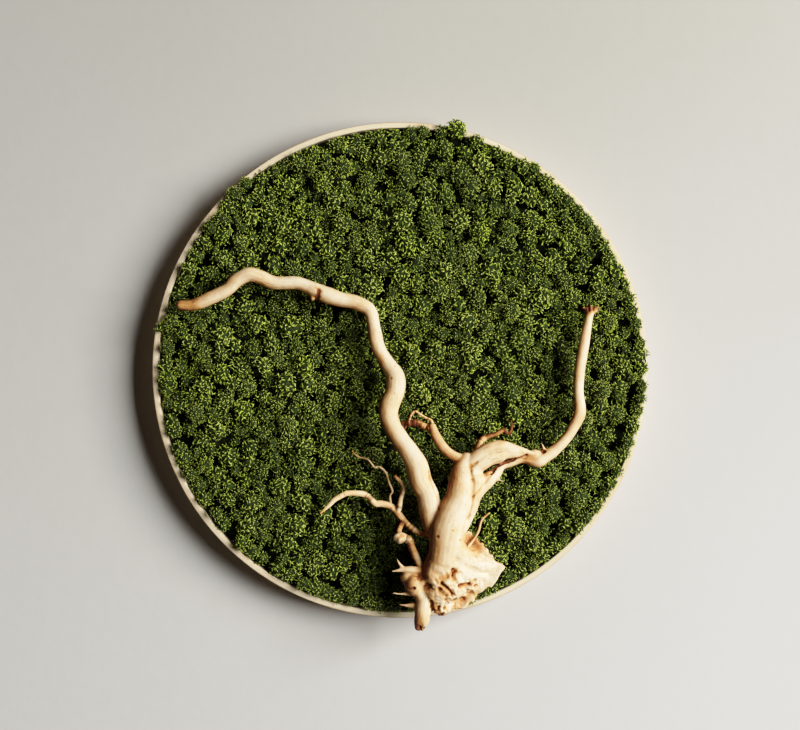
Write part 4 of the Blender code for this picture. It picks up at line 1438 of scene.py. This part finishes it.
def sweep(line: np.ndarray, sides: int) -> bmesh.types.BMesh:
    """Extrudes a ring along a sampled route.

    Args:
        line: n by 4 samples.
        sides: corners of the ring.

    Returns:
        The closed tube.
    """
    way, first, second, _ = route_frames(line)
    seats = []
    for k, sample in enumerate(line):
        radius = sample[3]
        seat = Matrix.Identity(4)
        seat.col[0] = (*(first[k] * radius), 0)
        seat.col[1] = (*(second[k] * radius), 0)
        seat.col[2] = (*way[k], 0)
        seat.col[3] = (*sample[:3], 1)
        seats.append(seat)
    bm = bmesh.new()
    bmesh.ops.create_circle(bm, cap_ends=True, segments=sides, radius=1.0, matrix=seats[0])
    end = bm.faces[:]
    for before, after in zip(seats, seats[1:]):
        made = bmesh.ops.extrude_face_region(bm, geom=end)["geom"]
        ring = verts_of(made)
        end = [part for part in made if isinstance(part, bmesh.types.BMFace)]
        bmesh.ops.transform(bm, matrix=after @ before.inverted(), verts=ring)
    return bm


@dataclass
class Twig:
    """A thin twig of one or more runs, with nodes and slight knobbles."""

    name: str
    routes: tuple[Route, ...]
    replaced: tuple[str, ...]
    finish: DriftwoodFinish
    slot: Slot = Slot.WOOD
    sides: int = 12
    step: float = 0.0013
    knobble: float = 0.16
    blush: tuple[float, float] = (0.0, 0.0)
    lumps: tuple[Lump, ...] = ()
    seed: int = 5

    def build(self) -> bpy.types.Mesh:
        """Sweeps the runs and roughens them.

        Returns:
            The twig's mesh.
        """
        noise = ValueNoise(self.seed)
        joined = bmesh.new()
        grains, stain_and_shade_parts, places = [], [], []
        for k, route in enumerate(self.routes):
            line = route.samples(self.step)
            tube = mesh_from(sweep(line, self.sides), self.name)
            points, normals = points_of(tube), points_of(tube, "normal")
            grain, radius, along, total = grain_of(points, [line])
            turn = unit(grain[:, :2])
            where = np.column_stack([turn * 1.2, along * 85.0 + 31.0 * k])
            node = np.clip(noise.at(np.column_stack([along * 55.0, turn * 0.8 + k])), 0, 1)
            swell = radius * (self.knobble * noise.layers(where, 2) + 0.05 * node**3)
            places.append(points + normals * swell[:, None])
            grains.append(grain)
            ends = fade(total - along, 0.012) * 0.5
            blush = self.blush[0] + (self.blush[1] - self.blush[0]) * along / total
            # painted shade: the twig's side turned from the key light is coloured darker and redder
            blush = blush + 0.66 * painted_shade_share(normals)
            stain_and_shade = 0.30 * noise.layers(points * 90.0, 2) + ends + 0.1 * node**2 + blush
            stain_and_shade_parts.append(np.clip(stain_and_shade, -0.3, 1))
            joined.from_mesh(tube)
            bpy.data.meshes.remove(tube)
        for centre, radii in self.lumps:
            ball = bmesh.new()
            seat = Matrix.Translation(centre) @ Matrix.Diagonal((*radii, 1))
            bmesh.ops.create_icosphere(ball, subdivisions=3, radius=1.0, matrix=seat)
            lump = mesh_from(ball, self.name)
            points, normals = points_of(lump), points_of(lump, "normal")
            rough = noise.layers(points * 190.0, 3)
            places.append(points + normals * (min(radii) * 0.75 * rough)[:, None])
            grains.append(points - np.array(centre))
            stain_and_shade_parts.append(np.clip(-0.9 * rough, -0.5, 0.8))
            joined.from_mesh(lump)
            bpy.data.meshes.remove(lump)
        mesh = mesh_from(joined, self.name)
        move_points(mesh, np.vstack(places))
        store(mesh, "grain", np.vstack(grains))
        store(mesh, "stain_and_shade", np.concatenate(stain_and_shade_parts))
        return mesh

    def dress(self) -> None:
        """Puts the twig in the scene."""
        place(self.build(), self.name, self.finish.material(), self.slot, self.replaced)


def grain_of(
    points: np.ndarray, lines: list[np.ndarray]
) -> tuple[np.ndarray, np.ndarray, np.ndarray, np.ndarray]:
    """Where each point sits in the wood's grain, from the nearest run.

    Args:
        points: n by 3 places.
        lines: the sampled runs.

    Returns:
        Grain coordinates across, across and along, then each point's run radius,
        distance along it and that run's length.
    """
    samples, firsts, seconds, alongs, ids, totals = [], [], [], [], [], []
    for k, line in enumerate(lines):
        _, first, second, along = route_frames(line)
        samples.append(line)
        firsts.append(first)
        seconds.append(second)
        alongs.append(along)
        ids.append(np.full(len(line), k))
        totals.append(np.full(len(line), along[-1]))
    line, first, second = np.vstack(samples), np.vstack(firsts), np.vstack(seconds)
    along, which, total = np.concatenate(alongs), np.concatenate(ids), np.concatenate(totals)
    nearest = np.empty(len(points), int)
    for start in range(0, len(points), BATCH):
        part = points[start : start + BATCH]
        gap = np.linalg.norm(part[:, None, :] - line[None, :, :3], axis=2)
        nearest[start : start + BATCH] = (gap / np.sqrt(line[None, :, 3])).argmin(1)
    offset = points - line[nearest, :3]
    across = (offset * first[nearest]).sum(1)
    beside = (offset * second[nearest]).sum(1)
    grain = np.column_stack([across, beside + which[nearest] * RUN_APART, along[nearest]])
    return grain, line[nearest, 3], along[nearest], total[nearest]


@dataclass
class Driftwood:
    """The thick wood: root burl, trunk and the two long branches, as one grown piece."""

    routes: tuple[Route, ...] = (
        TRUNK,
        LEFT_BRANCH,
        CURVED_TWIG,
        RIGHT_STRAND,
        STUB,
        *THORNS,
        *FLARES,
        *WEDGE,
        *PRONGS,
    )
    lumps: tuple[Lump, ...] = LUMPS
    flange: tuple[tuple[float, float], ...] = FLANGE
    flange_front: float = -0.087
    flange_thickness: float = 0.013
    marks: tuple[Mark, ...] = MARKS
    rough_patches: tuple[Mark, ...] = ROUGH_PATCHES
    voxel: float = 0.00118
    smoothings: int = 9
    blank_step: float = 0.003
    blank_sides: int = 20
    grain_step: float = 0.0015
    wander: float = 0.0016
    seed: int = 23

    def blank(self) -> bpy.types.Mesh:
        """Gathers the overlapping tubes, lumps and plates.

        Returns:
            One mesh of many closed shapes.
        """
        joined = bmesh.new()
        for route in self.routes:
            tube = mesh_from(sweep(route.samples(self.blank_step), self.blank_sides), "run")
            joined.from_mesh(tube)
            bpy.data.meshes.remove(tube)
        for centre, radii in self.lumps:
            seat = Matrix.Translation(centre) @ Matrix.Diagonal((*radii, 1))
            bmesh.ops.create_icosphere(joined, subdivisions=3, radius=1.0, matrix=seat)
        back = self.flange_front + self.flange_thickness
        face = joined.faces.new([joined.verts.new((x, back, z)) for x, z in self.flange])
        front = verts_of(bmesh.ops.extrude_face_region(joined, geom=[face])["geom"])
        bmesh.ops.translate(joined, verts=front, vec=(0, -self.flange_thickness, 0))
        return mesh_from(joined, "driftwood_blank")

    def build(self) -> bpy.types.Mesh:
        """Fuses the blank, then carves flutes, lumps, pits and knots into it.

        Returns:
            The driftwood's mesh.
        """
        fused = evaluated_mesh(
            self.blank(),
            (
                ("REMESH", {"mode": "VOXEL", "voxel_size": self.voxel}),
                ("SMOOTH", {"factor": 0.5, "iterations": self.smoothings}),
            ),
        )
        fused.name = "driftwood_grown"
        noise = ValueNoise(self.seed)
        points, normals = points_of(fused), points_of(fused, "normal")
        lines = [route.samples(self.grain_step) for route in self.routes]
        grain, radius, along, total = grain_of(points, lines)
        beside = (grain[:, 1] + RUN_APART / 2) % RUN_APART - RUN_APART / 2
        turn = unit(np.column_stack([grain[:, 0], beside]))
        flutes = noise.layers(np.column_stack([turn * 1.5, along * 24.0]), 2)
        lumps = noise.layers(points * 75.0 + 9.0, 3)
        ridges = noise.layers(np.column_stack([grain[:, :2] * 420.0, along * 26.0]), 2)
        burl = sum(patch.stain_and_shade * patch.strength(points) for patch in self.rough_patches)
        burl = np.clip(burl, 0, 1)
        rough = 1.0 - np.abs(noise.layers(points * 130.0 + 3.0, 3)) * 2.2
        carved = np.clip(noise.layers(points * 95.0 + 40.0, 3) - 0.02, 0, 1) * 1.8
        flakes = noise.layers(points * 150.0 + 70.0, 3) * 3.2
        flakes = (np.floor(flakes) + np.clip((flakes % 1.0) * 3.0, 0, 1)) / 3.2
        crumbs = noise.layers(points * 300.0 + 20.0, 2)
        pocked = np.clip(noise.layers(points * 210.0 + 60.0, 2) - 0.12, 0, 1) * 2.4
        swell = radius * 0.020 * flutes + 0.0007 * lumps + 0.0001 * ridges
        swell += burl * (0.0017 * flakes - 0.0050 * carved - 0.0007 * (1.0 - rough))
        swell += burl * (0.0010 * crumbs - 0.0024 * pocked)
        faced = np.clip(-normals[:, 1] * 1.4 + 0.2, 0, 1)
        stain_and_shade = np.clip(-0.10 * flutes - 0.14 * ridges + 0.14 * lumps, -0.3, 0.4)
        # painted shade: the sides turned from the front and from the key light are coloured darker and
        # redder
        stain_and_shade += 0.30 * (1.0 - faced) + 0.80 * painted_shade_share(normals)
        stain_and_shade += burl * np.clip(carved * 0.9 + pocked * 0.7 - 0.15 * flakes - 0.25 * crumbs, -0.15, 0.9)
        wander = [ValueNoise(self.seed + 1 + axis) for axis in range(2)]
        strayed = points.copy()
        strayed[:, 0] += self.wander * wander[0].layers(points * 210.0, 2)
        strayed[:, 2] += self.wander * wander[1].layers(points * 210.0, 2)
        for mark in self.marks:
            swell -= mark.depth * mark.strength(strayed) * faced
            stain_and_shade += mark.stain_and_shade * mark.strength(strayed, 1.25)
        move_points(fused, points + normals * swell[:, None])
        store(fused, "grain", grain)
        store(fused, "stain_and_shade", stain_and_shade)
        return fused

    def dress(self) -> None:
        """Puts the driftwood in the scene."""
        nodes = ["root_burl", "trunk", "left_branch", "curved_twig", "right_wedge", "right_branch"]
        place(self.build(), "driftwood_body", DriftwoodFinish().material(), Slot.WOOD, nodes)


def twigs() -> list[Twig]:
    """The thin twigs, in the order they are made."""
    pale = DriftwoodFinish()
    warm = DriftwoodFinish("driftwood_warm", redness=0.14)
    red = DriftwoodFinish("driftwood_rust", redness=0.44)
    knob = in_metres(((0, -88.5, -198.5), (6.6, 6.2, 5.2)), ((12, -88, -202), (5.2, 5, 5)))
    return [
        Twig("twig_hook", (HOOK_TWIG,), ("hook_twig",), warm, blush=(0.2, 0.6), seed=3),
        Twig("twig_curl", CURL_TWIG, (), warm, blush=(0.15, 0.45), seed=4),
        Twig("twig_left", (LEFT_TWIG,), ("left_twig",), warm, blush=(0.2, -0.1), seed=5),
        Twig("twig_upright", (UPRIGHT_TWIG,), ("upright_twig",), pale, seed=6),
        Twig("twig_wiry", (WIRY_TWIG,), ("wiry_twig",), warm, sides=8, seed=7),
        Twig("twig_knob", KNOB_TWIG, ("knob_twig",), red, Slot.RED_WOOD, lumps=knob, seed=8),
        Twig("twig_fine", (FINE_SHOOT,), ("fine_shoot",), warm, sides=8, seed=9),
    ]


# Studio


@dataclass
class Studio:
    """Camera, lights, wall and floor."""

    eye: Point = (0.0, -2.242, 0.006)
    lens: float = 81.8
    key_way: Point = (0.735, -0.68, 0.15)
    key_distance: float = 4.6
    key_size: float = 2.7
    key_power: float = 520.0
    wall_size: float = 7.0
    wall_gap: float = 0.0006
    floor_size: float = 3.6
    floor_level: float = -0.75
    white: float = 2.4
    key_tint: Colour = (1.0, 0.985, 0.955)
    back_spot: Point = (-0.7, 3.2, 0.7)
    back_size: float = 1.6
    back_power: float = 70.0
    fill_tint: Colour = (1.0, 0.78, 0.56)
    fill_strength: float = 0.018
    room_tint: Colour = (0.72, 0.71, 0.68)
    wall_paint: Colour = (0.70, 0.695, 0.675)
    floor_paint: Colour = (0.44, 0.435, 0.42)
    roll_off: tuple[tuple[float, float], ...] = ((0.02, 0.038), (0.125, 0.26), (0.25, 0.47), (0.5, 0.78))

    def camera(self) -> None:
        """Makes the camera, square on to the panel."""
        data = bpy.data.cameras.new("camera")
        data.lens = self.lens
        data.clip_start = 0.05
        camera = bpy.data.objects.new("camera", data)
        camera.location = self.eye
        camera.rotation_euler = (math.radians(90), 0, 0)
        bpy.context.scene.collection.objects.link(camera)
        bpy.context.scene.camera = camera

    def lamp(self, name: str, spot: Vector, size: float, power: float, tint: Colour) -> None:
        """Adds a soft square light aimed at the panel.

        Args:
            name: the light's name.
            spot: where it stands.
            size: its width.
            power: its power in watts.
            tint: its colour.
        """
        data = bpy.data.lights.new(name, "AREA")
        data.size = size
        data.energy = power
        data.color = tint
        lamp = bpy.data.objects.new(name, data)
        lamp.location = spot
        lamp.rotation_euler = (-spot).to_track_quat("-Z", "Y").to_euler()
        bpy.context.scene.collection.objects.link(lamp)

    def lights(self) -> None:
        """Adds the key light, the light behind and the faint fill."""
        key = Vector(self.key_way).normalized() * self.key_distance
        self.lamp("key", key, self.key_size, self.key_power, self.key_tint)
        self.lamp("behind", Vector(self.back_spot), self.back_size, self.back_power, (1.0, 1.0, 1.0))
        world = bpy.data.worlds.new("room")
        world.use_nodes = True
        tree = world.node_tree
        fill = tree.nodes["Background"]
        fill.inputs["Color"].default_value = (*self.fill_tint, 1.0)
        fill.inputs["Strength"].default_value = self.fill_strength
        seen = tree.nodes.new("ShaderNodeBackground")
        seen.inputs["Color"].default_value = (*self.room_tint, 1.0)
        path = tree.nodes.new("ShaderNodeLightPath")
        both = tree.nodes.new("ShaderNodeMixShader")
        tree.links.new(path.outputs["Is Camera Ray"], both.inputs[0])
        tree.links.new(fill.outputs[0], both.inputs[1])
        tree.links.new(seen.outputs[0], both.inputs[2])
        tree.links.new(both.outputs[0], tree.nodes["World Output"].inputs[0])
        bpy.context.scene.world = world

    def sheet(self, name: str, size: float, seat: Matrix, finish: PlasterFinish, bounces: bool) -> None:
        """Adds one flat backdrop.

        Args:
            name: its name.
            size: its width.
            seat: where it stands.
            finish: its paint.
            bounces: whether light bounces from it onto the panel.
        """
        bm = bmesh.new()
        bmesh.ops.create_grid(bm, x_segments=1, y_segments=1, size=size / 2, matrix=seat)
        mesh = bpy.data.meshes.new(name)
        bm.to_mesh(mesh)
        bm.free()
        mesh.materials.append(finish.material())
        obj = bpy.data.objects.new(name, mesh)
        obj.visible_shadow = False
        obj.visible_diffuse = bounces
        bpy.context.scene.collection.objects.link(obj)

    def backdrop(self) -> None:
        """Adds the wall the panel hangs on and the pale floor below it."""
        wall = Matrix.Translation((0, self.wall_gap, 0)) @ FACE_FORWARD
        self.sheet("wall", self.wall_size, wall, PlasterFinish("wall_paint", self.wall_paint), True)
        floor = Matrix.Translation((0, self.wall_gap - self.floor_size / 2, self.floor_level))
        paint = PlasterFinish("floor_paint", self.floor_paint)
        self.sheet("floor", self.floor_size, floor, paint, False)

    def colours(self) -> None:
        """Sets how the scene's light becomes picture colours."""
        view = bpy.context.scene.view_settings
        view.view_transform = "Standard"
        view.use_curve_mapping = True
        mapping = view.curve_mapping
        mapping.white_level = (self.white,) * 3
        for dark, light in self.roll_off:
            mapping.curves[3].points.new(dark, light)
        mapping.update()

    def build(self) -> None:
        """Makes the whole studio."""
        self.camera()
        self.lights()
        self.backdrop()
        self.colours()


def main() -> None:
    """Builds the studio and the panel, piece by piece."""
    logging.basicConfig(level=logging.INFO, format="%(message)s")
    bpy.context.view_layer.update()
    Studio().build()
    Hoop().dress()
    Back().dress()
    MossBed().dress()
    Driftwood().dress()
    for twig in twigs():
        twig.dress()


if __name__ == "__main__":
    main()
